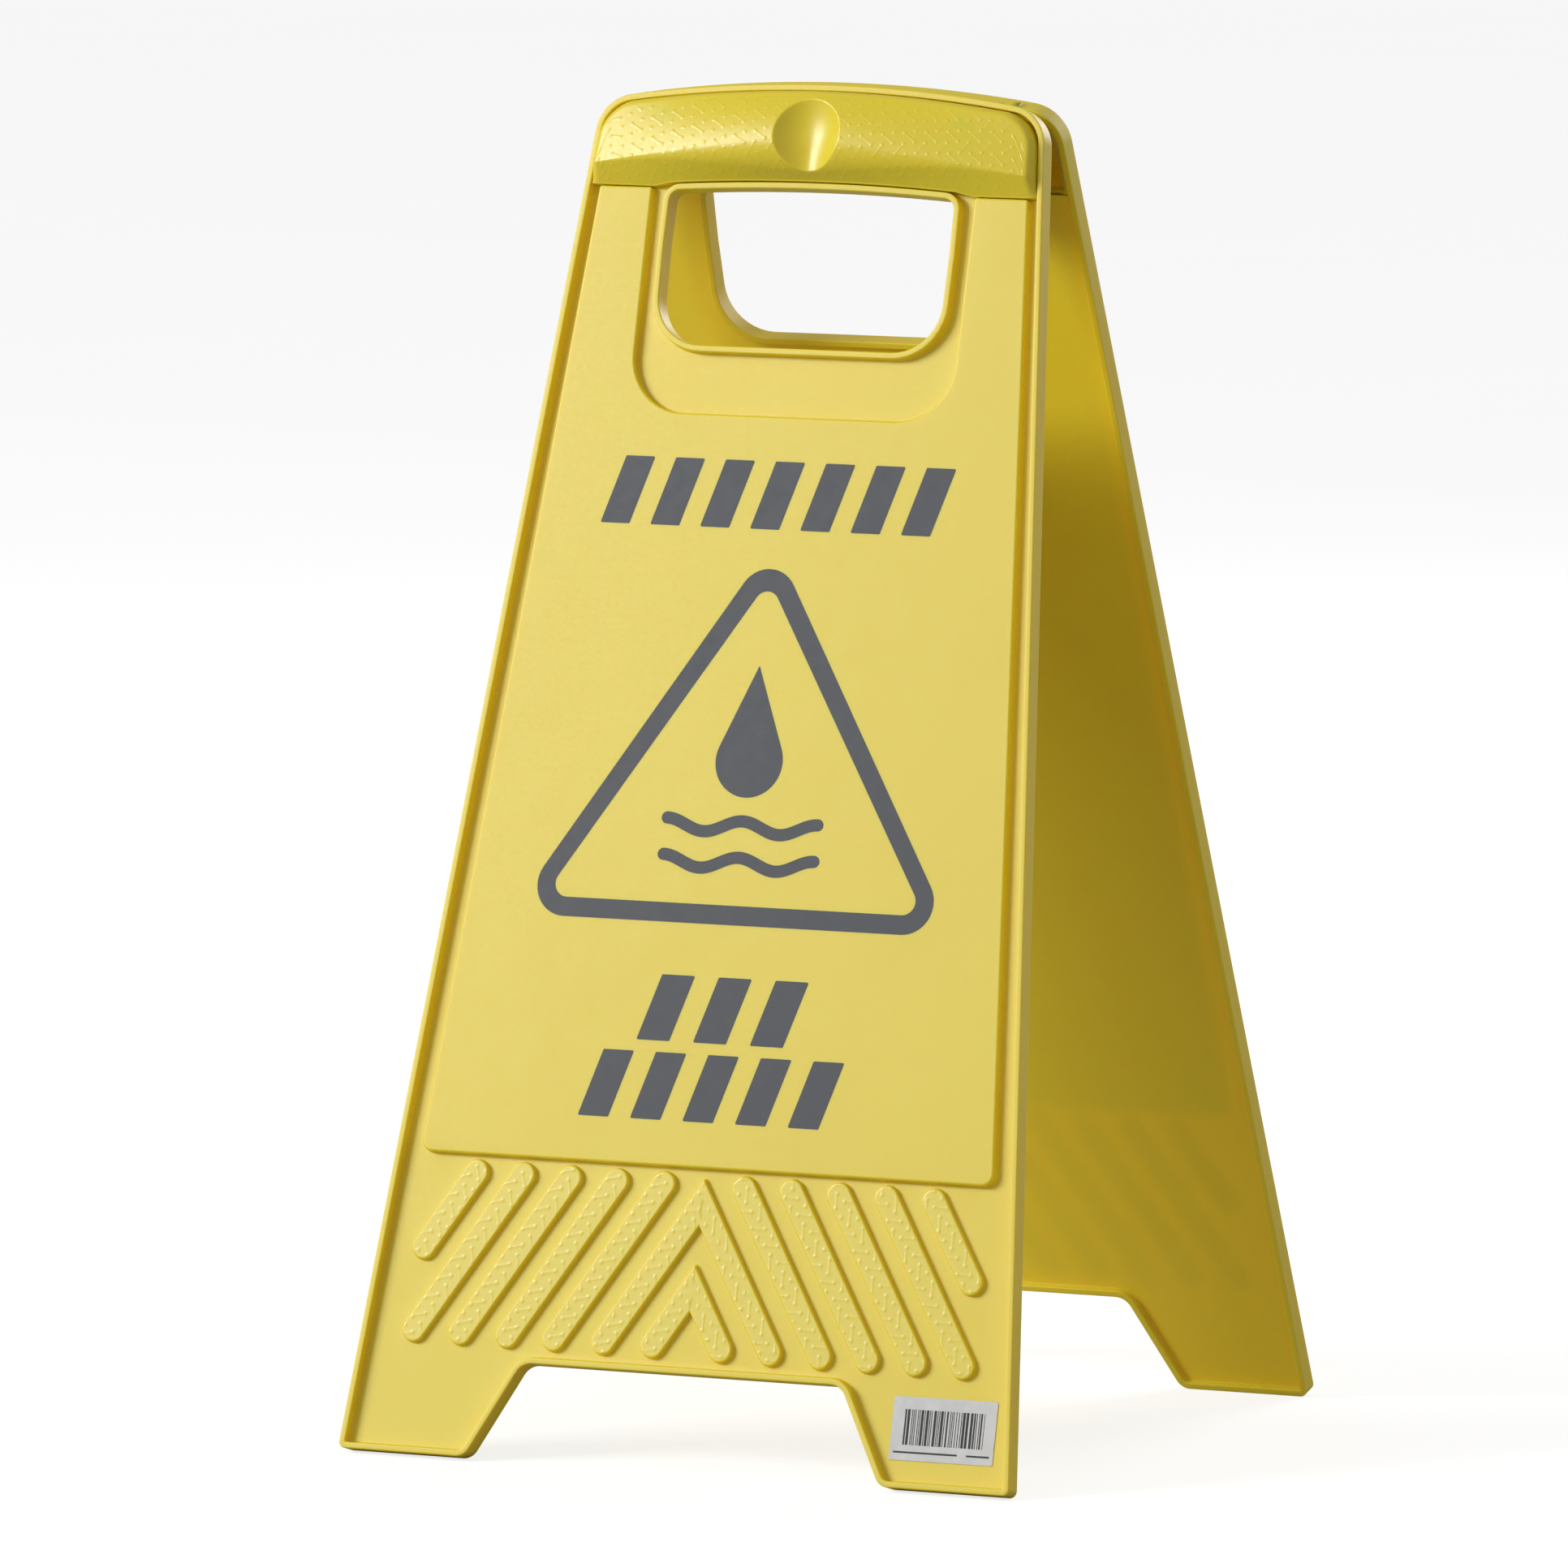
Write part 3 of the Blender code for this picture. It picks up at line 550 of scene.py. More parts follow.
# ---------------------------------------------------------------- grip

def grip_top(u, inset):
    """How far down the grip's upper edge lies; u runs from -1 to 1 along the grip."""
    end = side_half(GRIP_END_DOWN) - inset
    corner = GRIP_CORNER + RIM - inset
    x = abs(u) * end
    level = arch_down(min(x, end - corner), inset)
    if x > end - corner:
        reach = (x - end + corner) / corner
        level += GRIP_CORNER_DROP * reach + corner * (1 - math.sqrt(max(1 - reach * reach, 0.0)))
    return level


def grip_foot(x, inset):
    """How far down the grip's lower edge lies: along the hand hole, then straight."""
    level = min(hole_top(min(abs(x), HOLE_HALF), COLLAR), PAD_DOWN_TOP)
    if abs(x) > HOLE_HALF:
        share = min((abs(x) - HOLE_HALF) / GRIP_FOOT_EASE, 1.0)
        level += (PAD_DOWN_TOP - level) * share
    return level - inset


def grip_height(x, distance):
    """Round handle in the middle, which tightens to a crease towards the grip's ends."""
    t = min(abs(x) / (side_half(TOE_DOWN_MID) - RIM), 1.0)
    share = 0.5 * (1 - t) + 0.25 * (1 + math.cos(math.pi * t))
    crest = GRIP_END + (GRIP_MID - GRIP_END) * math.cos(math.pi / 2 * t)
    radius = CREASE_R_END + (CREASE_R_MID - CREASE_R_END) * share
    toe_down = TOE_DOWN_END + (TOE_DOWN_MID - TOE_DOWN_END) * share
    fall = math.radians(FALL_END + FALL_GAIN * share)
    centre_z = crest - radius
    centre_d = toe_down - (radius + (centre_z - GRIP_TOE) * math.cos(fall)) / math.sin(fall)
    gap = distance - centre_d
    after = radius * math.sin(fall)
    if gap < 0:
        return crest - share * gap * gap / (2 * CREST_R_UP) + (1 - share) * gap * CREST_LEAN
    if gap > after:
        return centre_z + radius * math.cos(fall) - (gap - after) * math.tan(fall)
    return centre_z + math.sqrt(radius * radius - gap * gap)


def bowl_height(x, distance):
    """Height of the dish's floor, which meets the grip's surface along a circle in plan."""
    along = (distance - DISH_DOWN) / DISH_R
    reach = max(math.hypot(x / DISH_R, along), 1e-6)
    rim = grip_height(x / reach, DISH_DOWN + along * DISH_R / reach)
    upper = grip_height(0, DISH_DOWN - DISH_R)
    lower = grip_height(0, DISH_DOWN + DISH_R)
    centre = (upper + lower) / 2 - DISH_DROP
    return centre + (rim - centre) * reach ** 2


def dished(x, distance, height):
    """Lower a surface height to the dish where the dish lies below it, with a soft edge."""
    if math.hypot(x, distance - DISH_DOWN) > DISH_REACH:
        return height
    bowl = bowl_height(x, distance)
    share = max(0.0, min(1.0, 0.5 + (height - bowl) / (2 * DISH_SOFT)))
    return height + (bowl - height) * share - DISH_SOFT * share * (1 - share)


def spaced(low, high, step_at):
    """Positions from low to high whose spacing follows a function."""
    values = [low]
    while values[-1] < high:
        values.append(values[-1] + step_at(values[-1]))
    scale = (high - low) / (values[-1] - low)
    return [low + (v - low) * scale for v in values]


SURVEY_STEPS = 80  # points that measure a section's length


def even_rows(x, top, foot, count):
    """Down distances that divide the grip's section at x into equal lengths."""
    places = [(d, grip_height(x, d)) for d in
              (top + (foot - top) * k / SURVEY_STEPS for k in range(SURVEY_STEPS + 1))]
    lengths = [0.0]
    for a, b in zip(places, places[1:]):
        lengths.append(lengths[-1] + math.hypot(b[0] - a[0], b[1] - a[1]))
    rows = []
    k = 0
    for i in range(count + 1):
        wanted = lengths[-1] * i / count
        while k < SURVEY_STEPS - 1 and lengths[k + 1] < wanted:
            k += 1
        part = (wanted - lengths[k]) / (lengths[k + 1] - lengths[k])
        rows.append((places[k][0] + (places[k + 1][0] - places[k][0]) * part, wanted))
    return rows


def grip_grid(bm, inset, toe_inset, lift, columns, count, marks):
    """Surface of the grip as a grid of points, with its dish and its tread marks."""
    half = side_half(GRIP_SIDE_DOWN) - RIM - GRIP_GAP - inset
    grid = []
    for u in columns:
        x = u * half
        top = grip_top(u, RIM + GRIP_GAP + inset)
        foot = grip_foot(x, GRIP_GAP + toe_inset)
        line = []
        for distance, travel in even_rows(x, top, foot, count):
            lean = SIDE_SLOPE * (distance - GRIP_SIDE_DOWN) * u
            height = grip_height(x, distance)
            line.append((Vector((x + lean, down(distance), out(height - lift))), travel))
        grid.append(line)
    if marks:
        raise_marks(grid)
    verts = []
    for line in grid:
        column = []
        for place, travel in line:
            height = dished(place.x, AXIS_DOWN - place.y, place.z - HALF_GAP + lift)
            place.z = out(height - lift)
            column.append(bm.verts.new(place))
        verts.append(column)
    for a, b in zip(verts, verts[1:]):
        for k in range(len(a) - 1):
            bm.faces.new((a[k], a[k + 1], b[k + 1], b[k]))
    return verts


def raise_marks(grid):
    """Lift the tread marks out of the surface along its own normal."""
    count, depth = len(grid), len(grid[0])
    shifts = []
    for i in range(count):
        for k in range(depth):
            place, travel = grid[i][k]
            edge = min(i, count - 1 - i, k, depth - 1 - k)
            fade = min(1.0, max(0.0, (edge - MARK_FADE_FROM) / MARK_FADE_OVER))
            height = fade * GRIP_MARK * tread(place.x, -travel, GRIP_TURN)
            if height <= 0:
                continue
            across = grid[min(i + 1, count - 1)][k][0] - grid[max(i - 1, 0)][k][0]
            along = grid[i][min(k + 1, depth - 1)][0] - grid[i][max(k - 1, 0)][0]
            normal = along.cross(across).normalized()
            if normal.z < 0:
                normal = -normal
            shifts.append((place, normal * height))
    for place, shift in shifts:
        place += shift


def turned_out(line, amount):
    """Outward plan shifts for a run of border vertices that goes clockwise."""
    shifts = []
    for i in range(len(line)):
        before, after = line[max(i - 1, 0)].co, line[min(i + 1, len(line) - 1)].co
        along = Vector((after.x - before.x, after.y - before.y)).normalized()
        shifts.append(Vector((-along.y, along.x)) * amount)
    return shifts


def grip_border(verts, edge, toe_edge):
    """Border of a grip grid, clockwise, with the plan shift of each vertex to the outline."""
    runs = [([column[0] for column in verts], edge), (verts[-1], edge),
            ([column[-1] for column in reversed(verts)], toe_edge),
            (list(reversed(verts[0])), edge)]
    border = []
    for line, amount in runs:
        shifts = turned_out(line, amount)
        if border:
            border[-1][1] = corner_shift(border[-1][1], shifts[0])
            line, shifts = line[1:], shifts[1:]
        border += [[vert, shift, amount] for vert, shift in zip(line, shifts)]
    last = border.pop()
    border[0][1] = corner_shift(border[0][1], last[1])
    return border


def corner_shift(a, b):
    """Shift of a corner vertex that lies on both of the lines its two shifts lead to."""
    total = a + b
    return total / (1 + a.dot(b) / max(a.length, b.length, 1e-9) ** 2)


def grown_ring(bm, border, reach, height):
    """Ring of new vertices, shifted out from the border by a share of each one's shift."""
    return [bm.verts.new((vert.co.x + shift.x * reach, vert.co.y + shift.y * reach,
                          height(vert.co.z, amount))) for vert, shift, amount in border]


COLUMN_STEP = 0.42 * MM
DISH_COLUMN_STEP = 0.26 * MM
DISH_COLUMN_REACH = 18 * MM
END_COLUMN_STEP = 0.03 * MM
END_COLUMN_GROWTH = 0.12


def column_step(u):
    """Spacing of the grip's columns: closer at the dish and at the grip's rounded ends."""
    half = side_half(GRIP_SIDE_DOWN)
    from_end = (1 - abs(u)) * half
    step = DISH_COLUMN_STEP if abs(u * half) < DISH_COLUMN_REACH else COLUMN_STEP
    return min(step, END_COLUMN_STEP + END_COLUMN_GROWTH * max(from_end, 0.0)) / half


def edge_height(fall):
    """Height rule of one ring of the rounded edge, at this share of the edge's whole fall."""
    def height(z, amount):
        drop = TOE_EDGE if amount == TOE_EDGE else max(z - out(GRIP_BACK), TOE_EDGE)
        return z - drop * fall
    return height


def seat_height(z, amount):
    return out(GRIP_SEAT)


def build_grip(side, mat):
    """Hollow grip: its face with the rounded edge, its inside and its screw bosses."""
    bm = bmesh.new()
    fine = spaced(-1.0, 1.0, column_step)
    verts = grip_grid(bm, GRIP_EDGE, TOE_EDGE, 0.0, fine, GRIP_ROWS, True)
    border = grip_border(verts, GRIP_EDGE, TOE_EDGE)
    rings = [[vert for vert, _, _ in border]]
    for k in range(1, GRIP_EDGE_STEPS + 1):
        angle = math.pi / 2 * k / GRIP_EDGE_STEPS
        rings.append(grown_ring(bm, border, math.sin(angle), edge_height(1 - math.cos(angle))))
    rings.append(grown_ring(bm, border, 1.0, seat_height))
    for a, b in zip(rings, rings[1:]):
        bridge(bm, a, b)
    count = GRIP_INSIDE_COLUMNS
    coarse = [math.sin(math.pi / 2 * k / count) for k in range(-count, count + 1)]
    inside = grip_grid(bm, GRIP_EDGE, GRIP_WALL, GRIP_WALL, coarse, GRIP_INSIDE_ROWS, False)
    inner = grip_border(inside, 0.0, 0.0)
    seat = grown_ring(bm, inner, 0.0, seat_height)
    bridge(bm, [vert for vert, _, _ in inner], seat)
    loops = []
    for loop in (rings[-1], seat):
        loops += [bm.edges.get((loop[i - 1], loop[i])) for i in range(len(loop))]
    bmesh.ops.triangle_fill(bm, edges=loops, use_beauty=True, normal=(0, 0, 1))
    for sign in (-1, 1):
        for distance in SCREW_DOWNS:
            boss(bm, sign * SCREW_X, distance)
    obj = to_object(bm, side + "_grip_moulding", side, mat)
    weigh_normals(obj)
    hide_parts(side + "_grip")


def boss(bm, x, distance):
    """Screw boss inside the grip, from its seat up into the shell."""
    above = [grip_height(x + BOSS_R * a, distance + BOSS_R * b) for a, b in circle(8)]
    top = min(above) - BOSS_UNDER
    loops = []
    for radius, height in ((BOSS_R - BOSS_CHAMFER, GRIP_SEAT), (BOSS_R, GRIP_SEAT + BOSS_CHAMFER),
                           (BOSS_R, top)):
        loops.append([bm.verts.new((x + radius * a, down(distance) + radius * b, out(height)))
                      for a, b in circle(ROUND_SIDES)])
    for a, b in zip(loops, loops[1:]):
        bridge(bm, a, b)
    bm.faces.new(loops[0])
    bm.faces.new(loops[-1])


# ---------------------------------------------------------------- printed markings and label

INK_LIFT = 0.02 * MM
INK_T = 0.03 * MM
BAR_INK_LIFT = 0.005 * MM
BAR_INK_TOP = 0.02 * MM

# A row of blocks: its left and right edges, how far down its top and foot lie, and how many.
TOP_ROW = (-84 * MM, 83 * MM, 168 * MM, 198 * MM, 7)
MIDDLE_ROW = (-39 * MM, 40 * MM, 395 * MM, 424 * MM, 3)
FOOT_ROW = (-63 * MM, 61 * MM, 429 * MM, 458.5 * MM, 5)
BLOCK_SLANT = 9.0 * MM
BLOCK_GAP = 0.42
BLOCK_R = 0.6 * MM

# A triangle: how far down its apex and foot lie, its half width and its corner radius.
TRIANGLE_OUTER = (203 * MM, 372 * MM, 106 * MM, 14 * MM)
TRIANGLE_INNER = (220 * MM, 363.5 * MM, 91 * MM, 6 * MM)
DROP_TOP = 258 * MM
DROP_FOOT = 316 * MM
DROP_R = 16 * MM
WAVE_DOWNS = (329 * MM, 345 * MM)
WAVE_HALF_LENGTH = 36 * MM
WAVE_SWING = 2.6 * MM
WAVE_HALF = 2.7 * MM
WAVE_STEPS = 48
WAVE_TURNS = 2


def plate(bm, outlines, low, high):
    """Thin flat solid between two levels; outlines after the first are holes in it."""
    levels = []
    for z in (low, high):
        loops = [[bm.verts.new((p.x, p.y, z)) for p in outline] for outline in outlines]
        edges = [bm.edges.new((loop[i - 1], loop[i])) for loop in loops
                 for i in range(len(loop))]
        bmesh.ops.triangle_fill(bm, edges=edges, use_beauty=True, normal=(0, 0, 1))
        levels.append(loops)
    for a, b in zip(*levels):
        bridge(bm, a, b)


def pad_plate(bm, *outlines):
    """Print of outlines whose Y is a down distance, just above the pad."""
    shifted = [[Vector((p.x, down(p.y))) for p in outline] for outline in outlines]
    low = out(PAD_TOP + INK_LIFT)
    plate(bm, shifted, low, low + INK_T)


def hazard_row(bm, x_low, x_high, top, foot, count):
    """Row of slanted blocks, in place of a line of lettering."""
    pitch = (x_high - x_low - BLOCK_SLANT) / (count - BLOCK_GAP)
    wide = pitch * (1 - BLOCK_GAP)
    for k in range(count):
        x = x_low + pitch * k
        corners = [(x + BLOCK_SLANT, top, BLOCK_R), (x + BLOCK_SLANT + wide, top, BLOCK_R),
                   (x + wide, foot, BLOCK_R), (x, foot, BLOCK_R)]
        pad_plate(bm, rounded(corners, 4))


def triangle(apex, foot, half, radius):
    return rounded([(0, apex, radius), (half, foot, radius), (-half, foot, radius)], 14)


def droplet(x, top, foot, radius):
    """Drop with a pointed top, as a closed outline."""
    centre = Vector((x, foot - radius))
    reach = centre.y - top
    touch = math.acos(radius / reach)
    points = [Vector((x, top))]
    for k in range(33):
        angle = -math.pi / 2 + touch + (math.tau - 2 * touch) * k / 32
        points.append(centre + Vector((math.cos(angle), math.sin(angle))) * radius)
    return points


def wave(middle):
    """Band that follows a wave, with round ends."""
    length = 2 * WAVE_HALF_LENGTH
    points = []
    for k in range(WAVE_STEPS + 1):
        x = length * k / WAVE_STEPS - WAVE_HALF_LENGTH
        turn = math.tau * WAVE_TURNS * k / WAVE_STEPS
        points.append((Vector((x, middle - WAVE_SWING * math.cos(turn))), turn))
    upper, lower = [], []
    for place, turn in points:
        slope = WAVE_SWING * math.sin(turn) * math.tau * WAVE_TURNS / length
        normal = Vector((slope, -1)).normalized() * WAVE_HALF
        upper.append(place + normal)
        lower.append(place - normal)
    end = [points[-1][0] + Matrix.Rotation(math.pi * k / 8, 2) @ (upper[-1] - points[-1][0])
           for k in range(1, 8)]
    start = [points[0][0] + Matrix.Rotation(math.pi * k / 8, 2) @ (lower[0] - points[0][0])
             for k in range(1, 8)]
    return upper + end + list(reversed(lower)) + start


def build_print(side, mat):
    """Printed markings on the pad: rows of blocks, and a drop over waves in a triangle."""
    bm = bmesh.new()
    hazard_row(bm, *TOP_ROW)
    pad_plate(bm, triangle(*TRIANGLE_OUTER), triangle(*TRIANGLE_INNER))
    pad_plate(bm, droplet(0, DROP_TOP, DROP_FOOT, DROP_R))
    for middle in WAVE_DOWNS:
        pad_plate(bm, wave(middle))
    hazard_row(bm, *MIDDLE_ROW)
    hazard_row(bm, *FOOT_ROW)
    to_object(bm, side + "_print", side, mat, smooth=False)


def label_place(x, y):
    """Panel frame place of a point on the label, measured from the label's middle."""
    turned = Matrix.Rotation(LABEL_TURN, 2) @ Vector((x, y))
    return turned + Vector((LABEL_X, down(LABEL_DOWN)))


def build_label(mat, ink):
    """Stock label: a sheet, with bars of random widths and a broken rule that say nothing."""
    half_w, half_h = LABEL_W / 2, LABEL_H / 2
    low = out(OUTER_FLOOR + LABEL_LIFT)
    high = low + LABEL_T
    bm = bmesh.new()
    corners = [(half_w, half_h, LABEL_CORNER_R), (half_w, -half_h, LABEL_CORNER_R)]
    outline = [label_place(p.x, p.y) for p in rounded(mirrored(corners), 5)]
    plate(bm, [outline], low, high)
    paper = to_object(bm, "label_sheet", "front", mat, smooth=False)
    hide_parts("stock_label")
    bm = bmesh.new()
    dice = random.Random(7)
    x = -half_w + LABEL_MARGIN_LEFT
    end = half_w - LABEL_MARGIN_RIGHT
    while x < end:
        wide = min(dice.choice(LABEL_BAR_WIDTHS) * MM, end - x)
        block(bm, x, x + wide, half_h - LABEL_BARS_FOOT, half_h - LABEL_BARS_TOP, high)
        x += wide + dice.choice(LABEL_BAR_GAPS) * MM
    for start, wide in LABEL_RULES:
        block(bm, start, start + wide, LABEL_RULE_LOW - half_h, LABEL_RULE_HIGH - half_h, high)
    to_object(bm, "label_bars", "front", ink, smooth=False)


def block(bm, x0, x1, y0, y1, base):
    """One printed rectangle on the label, whose face lies at the base height."""
    outline = [label_place(x, y) for x, y in ((x0, y0), (x1, y0), (x1, y1), (x0, y1))]
    plate(bm, [outline], base + BAR_INK_LIFT, base + BAR_INK_TOP)


# ---------------------------------------------------------------- materials

DRIFT_SCALE = 9
WAVY_SCALE = 28
MOTTLE_SCALE = 160
SPECK_SCALE = 700
FINE_SCALE = 2600
INK_GRAIN = 0.02 * MM
METAL_GRAIN = 0.01 * MM
GLOW_DEPTH = 3.0 * MM
GLOW_SHARES = (1.0, 0.62, 0.10)
YELLOW = (0.87, 0.70, 0.022)
YELLOW_DEEP = (0.86, 0.685, 0.018)
# Raised bars' tops: painted sheen, a paler yellow base colour that stands in for the brighter
# gloss on the bars
YELLOW_PAINTED_SHEEN = (0.86, 0.72, 0.055)
YELLOW_PAINTED_SHEEN_DEEP = (0.85, 0.71, 0.048)


def shader_of(name):
    mat = bpy.data.materials.new(name)
    mat.use_nodes = True
    return mat, mat.node_tree, mat.node_tree.nodes["Principled BSDF"]


def noise_node(tree, coords, scale, detail):
    node = tree.nodes.new("ShaderNodeTexNoise")
    node.inputs["Scale"].default_value = scale
    node.inputs["Detail"].default_value = detail
    tree.links.new(coords.outputs["Object"], node.inputs["Vector"])
    return node


def spread(tree, source, low, high, to_low, to_high):
    """Map a value from one range to another."""
    node = tree.nodes.new("ShaderNodeMapRange")
    node.inputs["From Min"].default_value = low
    node.inputs["From Max"].default_value = high
    node.inputs["To Min"].default_value = to_low
    node.inputs["To Max"].default_value = to_high
    tree.links.new(source, node.inputs["Value"])
    return node.outputs["Result"]


def mix_colour(tree, factor, a, b):
    node = tree.nodes.new("ShaderNodeMix")
    node.data_type = "RGBA"
    node.inputs[6].default_value = (*a, 1)
    node.inputs[7].default_value = (*b, 1)
    tree.links.new(factor, node.inputs[0])
    return node.outputs[2]


def add_bump(tree, shader, height, distance, normal=None):
    """Bump of this depth on the shader, on top of another bump's normal if one is given."""
    node = tree.nodes.new("ShaderNodeBump")
    node.inputs["Strength"].default_value = 1.0
    node.inputs["Distance"].default_value = distance
    tree.links.new(height, node.inputs["Height"])
    if normal is not None:
        tree.links.new(normal, node.inputs["Normal"])
    tree.links.new(node.outputs["Normal"], shader.inputs["Normal"])
    return node.outputs["Normal"]


def plastic(name, colour, deep, rough, grain, shine, sink, glow=0.0):
    """Moulded plastic: slight colour drift, uneven sheen, fine grain and soft sink waves."""
    mat, tree, shader = shader_of(name)
    coords = tree.nodes.new("ShaderNodeTexCoord")
    drift = noise_node(tree, coords, DRIFT_SCALE, 3)
    speck = noise_node(tree, coords, SPECK_SCALE, 2)
    tone = mix_colour(tree, spread(tree, drift.outputs["Fac"], 0.35, 0.65, 0.0, 1.0),
                      colour, deep)
    tree.links.new(tone, shader.inputs["Base Color"])
    sheen = spread(tree, speck.outputs["Fac"], 0.3, 0.7, rough - 0.035, rough + 0.035)
    tree.links.new(sheen, shader.inputs["Roughness"])
    fine = noise_node(tree, coords, FINE_SCALE, 2)
    wavy = noise_node(tree, coords, WAVY_SCALE, 1)
    first = add_bump(tree, shader, fine.outputs["Fac"], grain)
    add_bump(tree, shader, wavy.outputs["Fac"], sink, normal=first)
    shader.inputs["IOR"].default_value = 1.49
    shader.inputs["Specular IOR Level"].default_value = shine
    shader.inputs["Subsurface Weight"].default_value = glow
    shader.inputs["Subsurface Radius"].default_value = GLOW_SHARES
    shader.inputs["Subsurface Scale"].default_value = GLOW_DEPTH
    return mat


def ink_material(name, colour):
    """Printed ink or paper: a slightly mottled tone with a fine grain."""
    mat, tree, shader = shader_of(name)
    coords = tree.nodes.new("ShaderNodeTexCoord")
    mottle = noise_node(tree, coords, MOTTLE_SCALE, 4)
    tone = mix_colour(tree, spread(tree, mottle.outputs["Fac"], 0.35, 0.65, 0.0, 1.0),
                      colour, tuple(c * 1.12 for c in colour))
    tree.links.new(tone, shader.inputs["Base Color"])
    tree.links.new(spread(tree, mottle.outputs["Fac"], 0.3, 0.7, 0.42, 0.52),
                   shader.inputs["Roughness"])
    fine = noise_node(tree, coords, FINE_SCALE, 2)
    add_bump(tree, shader, fine.outputs["Fac"], INK_GRAIN)
    shader.inputs["Specular IOR Level"].default_value = 0.4
    return mat


def metal(name, colour, rough, stretch):
    """Plated or drawn steel with fine lines along the part's own axis."""
    mat, tree, shader = shader_of(name)
    coords = tree.nodes.new("ShaderNodeTexCoord")
    mapping = tree.nodes.new("ShaderNodeMapping")
    mapping.inputs["Scale"].default_value = stretch
    tree.links.new(coords.outputs["Object"], mapping.inputs["Vector"])
    lines = noise_node(tree, coords, 1.0, 3)
    tree.links.new(mapping.outputs["Vector"], lines.inputs["Vector"])
    tone = mix_colour(tree, lines.outputs["Fac"], colour, tuple(c * 0.86 for c in colour))
    tree.links.new(tone, shader.inputs["Base Color"])
    tree.links.new(spread(tree, lines.outputs["Fac"], 0.3, 0.7, rough - 0.06, rough + 0.08),
                   shader.inputs["Roughness"])
    add_bump(tree, shader, lines.outputs["Fac"], METAL_GRAIN)
    shader.inputs["Metallic"].default_value = 1.0
    return mat


# ---------------------------------------------------------------- surroundings

FLOOR_REACH = 40
FLOOR_SHOWN = 0.76  # glow that only the camera sees
SKY_LIGHT = 0.38
SKY_SHOWN = 1.0  # what only the camera sees
TARGET = (0, 0, 0.3)
CAMERA_LENS = 351.1
CAMERA_PLACE = (2.7976, -6.0498, 1.0335)
CAMERA_PITCH = 83.58  # degrees
CAMERA_HEADING = 25.0  # degrees


def aim(obj, target):
    obj.rotation_euler = (Vector(target) - obj.location).to_track_quat("-Z", "Y").to_euler()


def softbox(name, place, size, power):
    data = bpy.data.lights.new(name, "AREA")
    data.shape = "RECTANGLE"
    data.size, data.size_y = size
    data.energy = power
    obj = bpy.data.objects.new(name, data)
    bpy.context.scene.collection.objects.link(obj)
    obj.location = place
    aim(obj, TARGET)


def floor_material():
    """Matt pale floor, brightened for the camera's own rays only."""
    mat, tree, shader = shader_of("pale_floor")
    coords = tree.nodes.new("ShaderNodeTexCoord")
    cloud = noise_node(tree, coords, 3, 3)
    tone = mix_colour(tree, cloud.outputs["Fac"], (0.39, 0.39, 0.39), (0.41, 0.41, 0.41))
    tree.links.new(tone, shader.inputs["Base Color"])
    shader.inputs["Roughness"].default_value = 0.9
    shader.inputs["Specular IOR Level"].default_value = 0.1
    seen = tree.nodes.new("ShaderNodeLightPath")
    tree.links.new(spread(tree, seen.outputs["Is Camera Ray"], 0, 1, 0.0, FLOOR_SHOWN),
                   shader.inputs["Emission Strength"])
    shader.inputs["Emission Color"].default_value = (1, 1, 1, 1)
    return mat


def build_floor():
    bm = bmesh.new()
    reach = FLOOR_REACH
    corners = [(-reach, -reach, 0), (reach, -reach, 0), (reach, reach, 0), (-reach, reach, 0)]
    bm.faces.new([bm.verts.new(c) for c in corners])
    mesh = bpy.data.meshes.new("floor")
    bm.to_mesh(mesh)
    bm.free()
    mesh.materials.append(floor_material())
    floor = bpy.data.objects.new("floor", mesh)
    bpy.context.scene.collection.objects.link(floor)


def build_world():
    """White world, whose light on the object is weaker than what the camera sees."""
    world = bpy.data.worlds.new("studio")
    world.use_nodes = True
    tree = world.node_tree
    sky = tree.nodes["Background"]
    sky.inputs["Color"].default_value = (1, 1, 1, 1)
    seen = tree.nodes.new("ShaderNodeLightPath")
    tree.links.new(spread(tree, seen.outputs["Is Camera Ray"], 0, 1, SKY_LIGHT, SKY_SHOWN),
                   sky.inputs["Strength"])
    bpy.context.scene.world = world


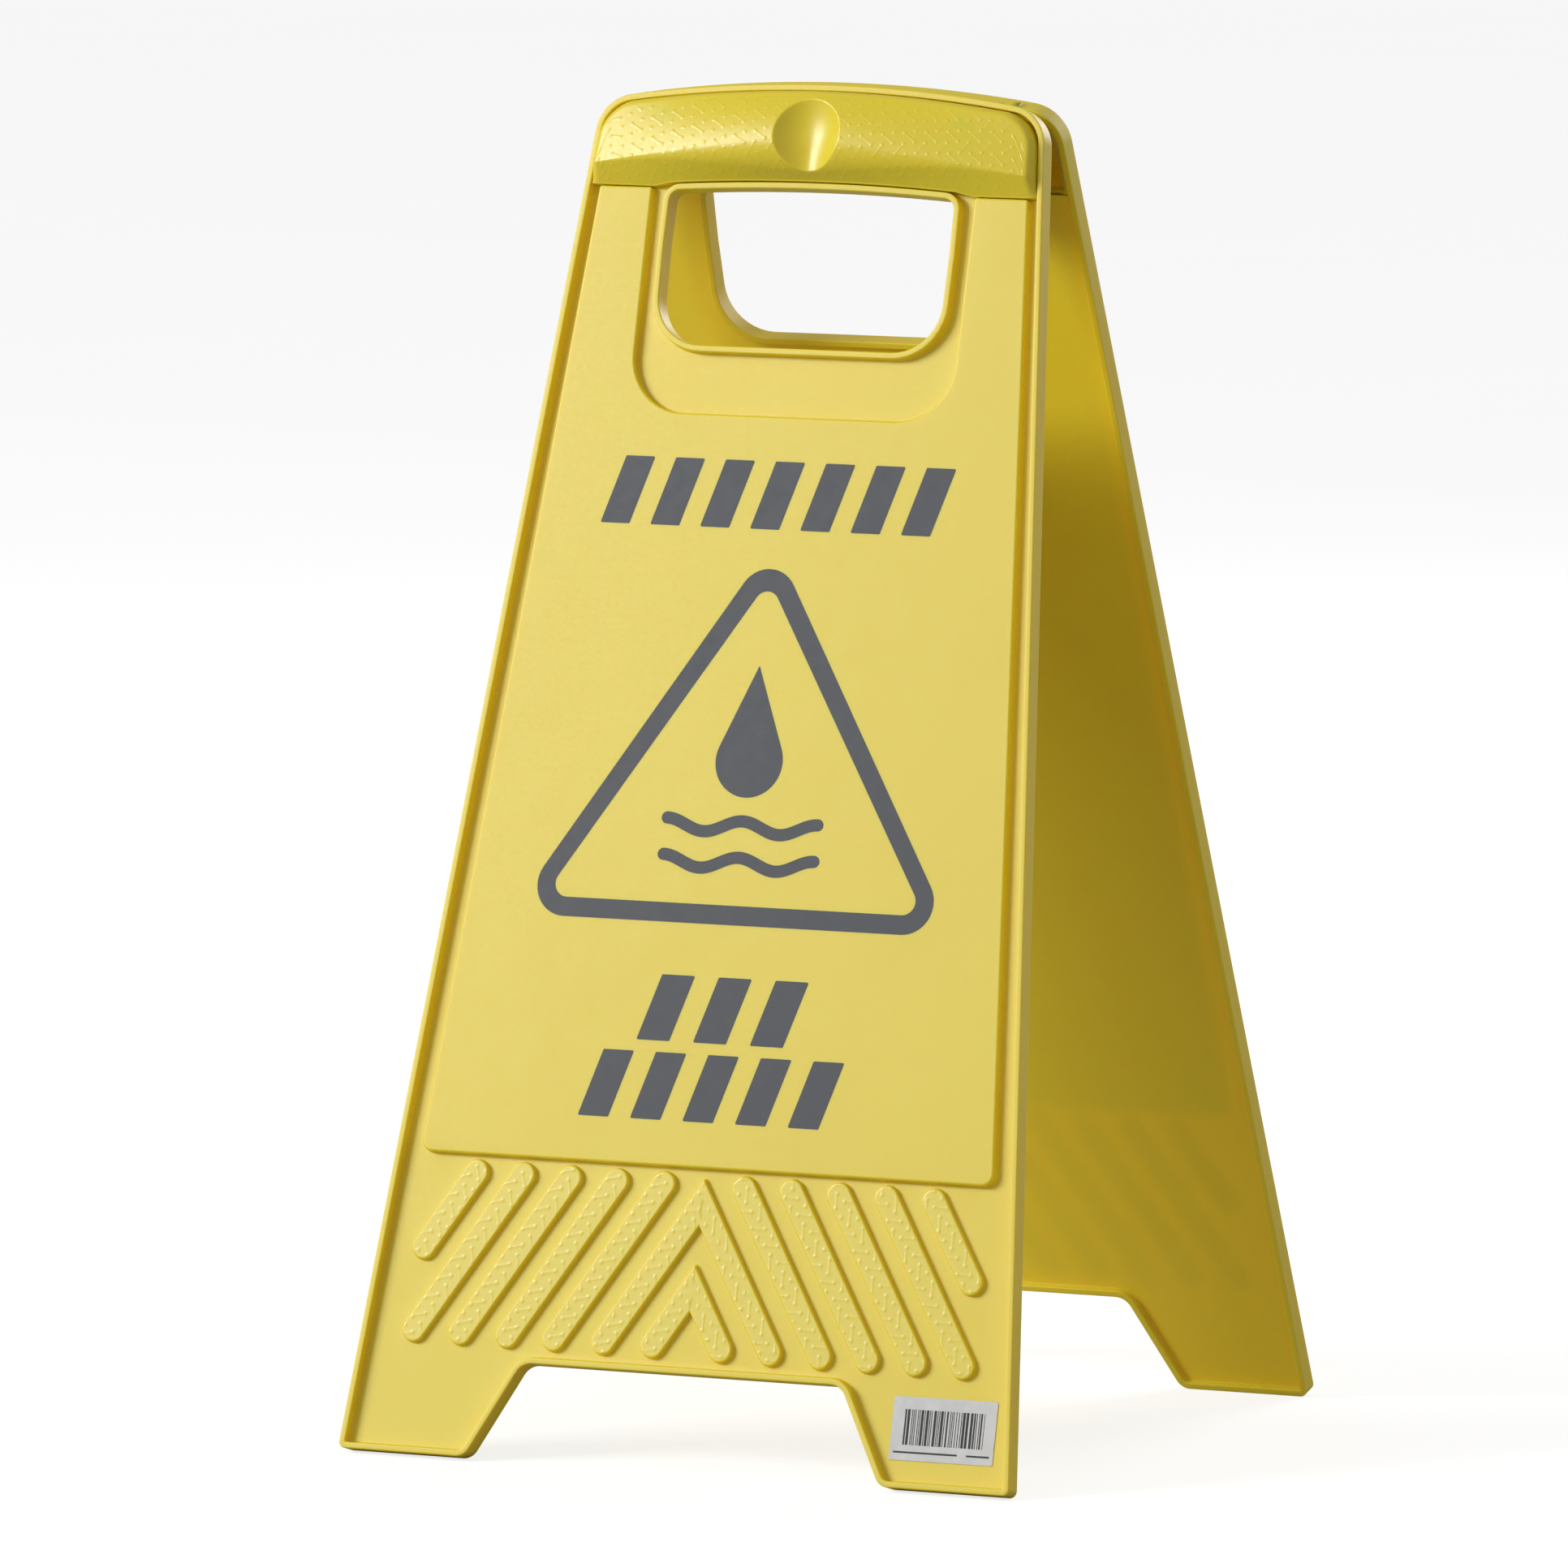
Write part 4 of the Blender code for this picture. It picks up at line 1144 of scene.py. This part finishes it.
def surroundings():
    build_floor()
    build_world()
    softbox("key", (-3.66, -3.41, 2.5), (2.6, 1.3), 190)
    softbox("back", (0.6, 3.2, 1.6), (1.6, 1.6), 40)
    bpy.context.scene.view_settings.view_transform = "Standard"


def camera():
    data = bpy.data.cameras.new("camera")
    data.lens = CAMERA_LENS
    data.sensor_width = 36
    data.clip_end = 200
    obj = bpy.data.objects.new("camera", data)
    obj.location = CAMERA_PLACE
    obj.rotation_euler = (math.radians(CAMERA_PITCH), 0, math.radians(CAMERA_HEADING))
    bpy.context.scene.collection.objects.link(obj)
    bpy.context.scene.camera = obj


# ---------------------------------------------------------------- assembly

def cad_materials(mats):
    """Give the CAD nodes that stay their own finishes."""
    for name, node in frame["nodes"].items():
        for part, key in (("_screw_", "screw"), ("hinge_pin", "pin"), ("pin_cap", "cap")):
            if part in name:
                for slot in node.material_slots:
                    slot.material = mats[key]


def main():
    mats = {
        "panel": plastic("panel_plastic", YELLOW, YELLOW_DEEP,
                         0.45, 0.000016, 0.9, 0.00016, 0.6),
        "grip": plastic("grip_plastic", YELLOW, YELLOW_DEEP,
                        0.38, 0.000008, 0.9, 0.0001, 0.6),
        # Same plastic as the panel on the bars' tops, with painted sheen: its paler colour stands
        # in for their gloss
        "tread": plastic("tread_plastic_painted_sheen", YELLOW_PAINTED_SHEEN, YELLOW_PAINTED_SHEEN_DEEP,
                         0.36, 0.000008, 0.9, 0.0001, 0.6),
        "ink": ink_material("grey_ink", (0.072, 0.076, 0.086)),
        "paper": ink_material("label_paper", (0.67, 0.67, 0.675)),
        "black": ink_material("label_ink", (0.02, 0.02, 0.02)),
        "screw": metal("zinc_screw", (0.72, 0.72, 0.74), 0.34, (900, 900, 900)),
        "pin": metal("steel_pin", (0.62, 0.63, 0.65), 0.28, (60, 2200, 2200)),
        "cap": plastic("black_cap", (0.018, 0.018, 0.02), (0.024, 0.024, 0.026),
                       0.5, 0.00002, 0.4, 0.00001),
    }
    for side in SIDES:
        build_panel(side, mats["panel"], mats["tread"])
        build_grip(side, mats["grip"])
        build_print(side, mats["ink"])
    build_label(mats["paper"], mats["black"])
    cad_materials(mats)
    surroundings()
    camera()


main()
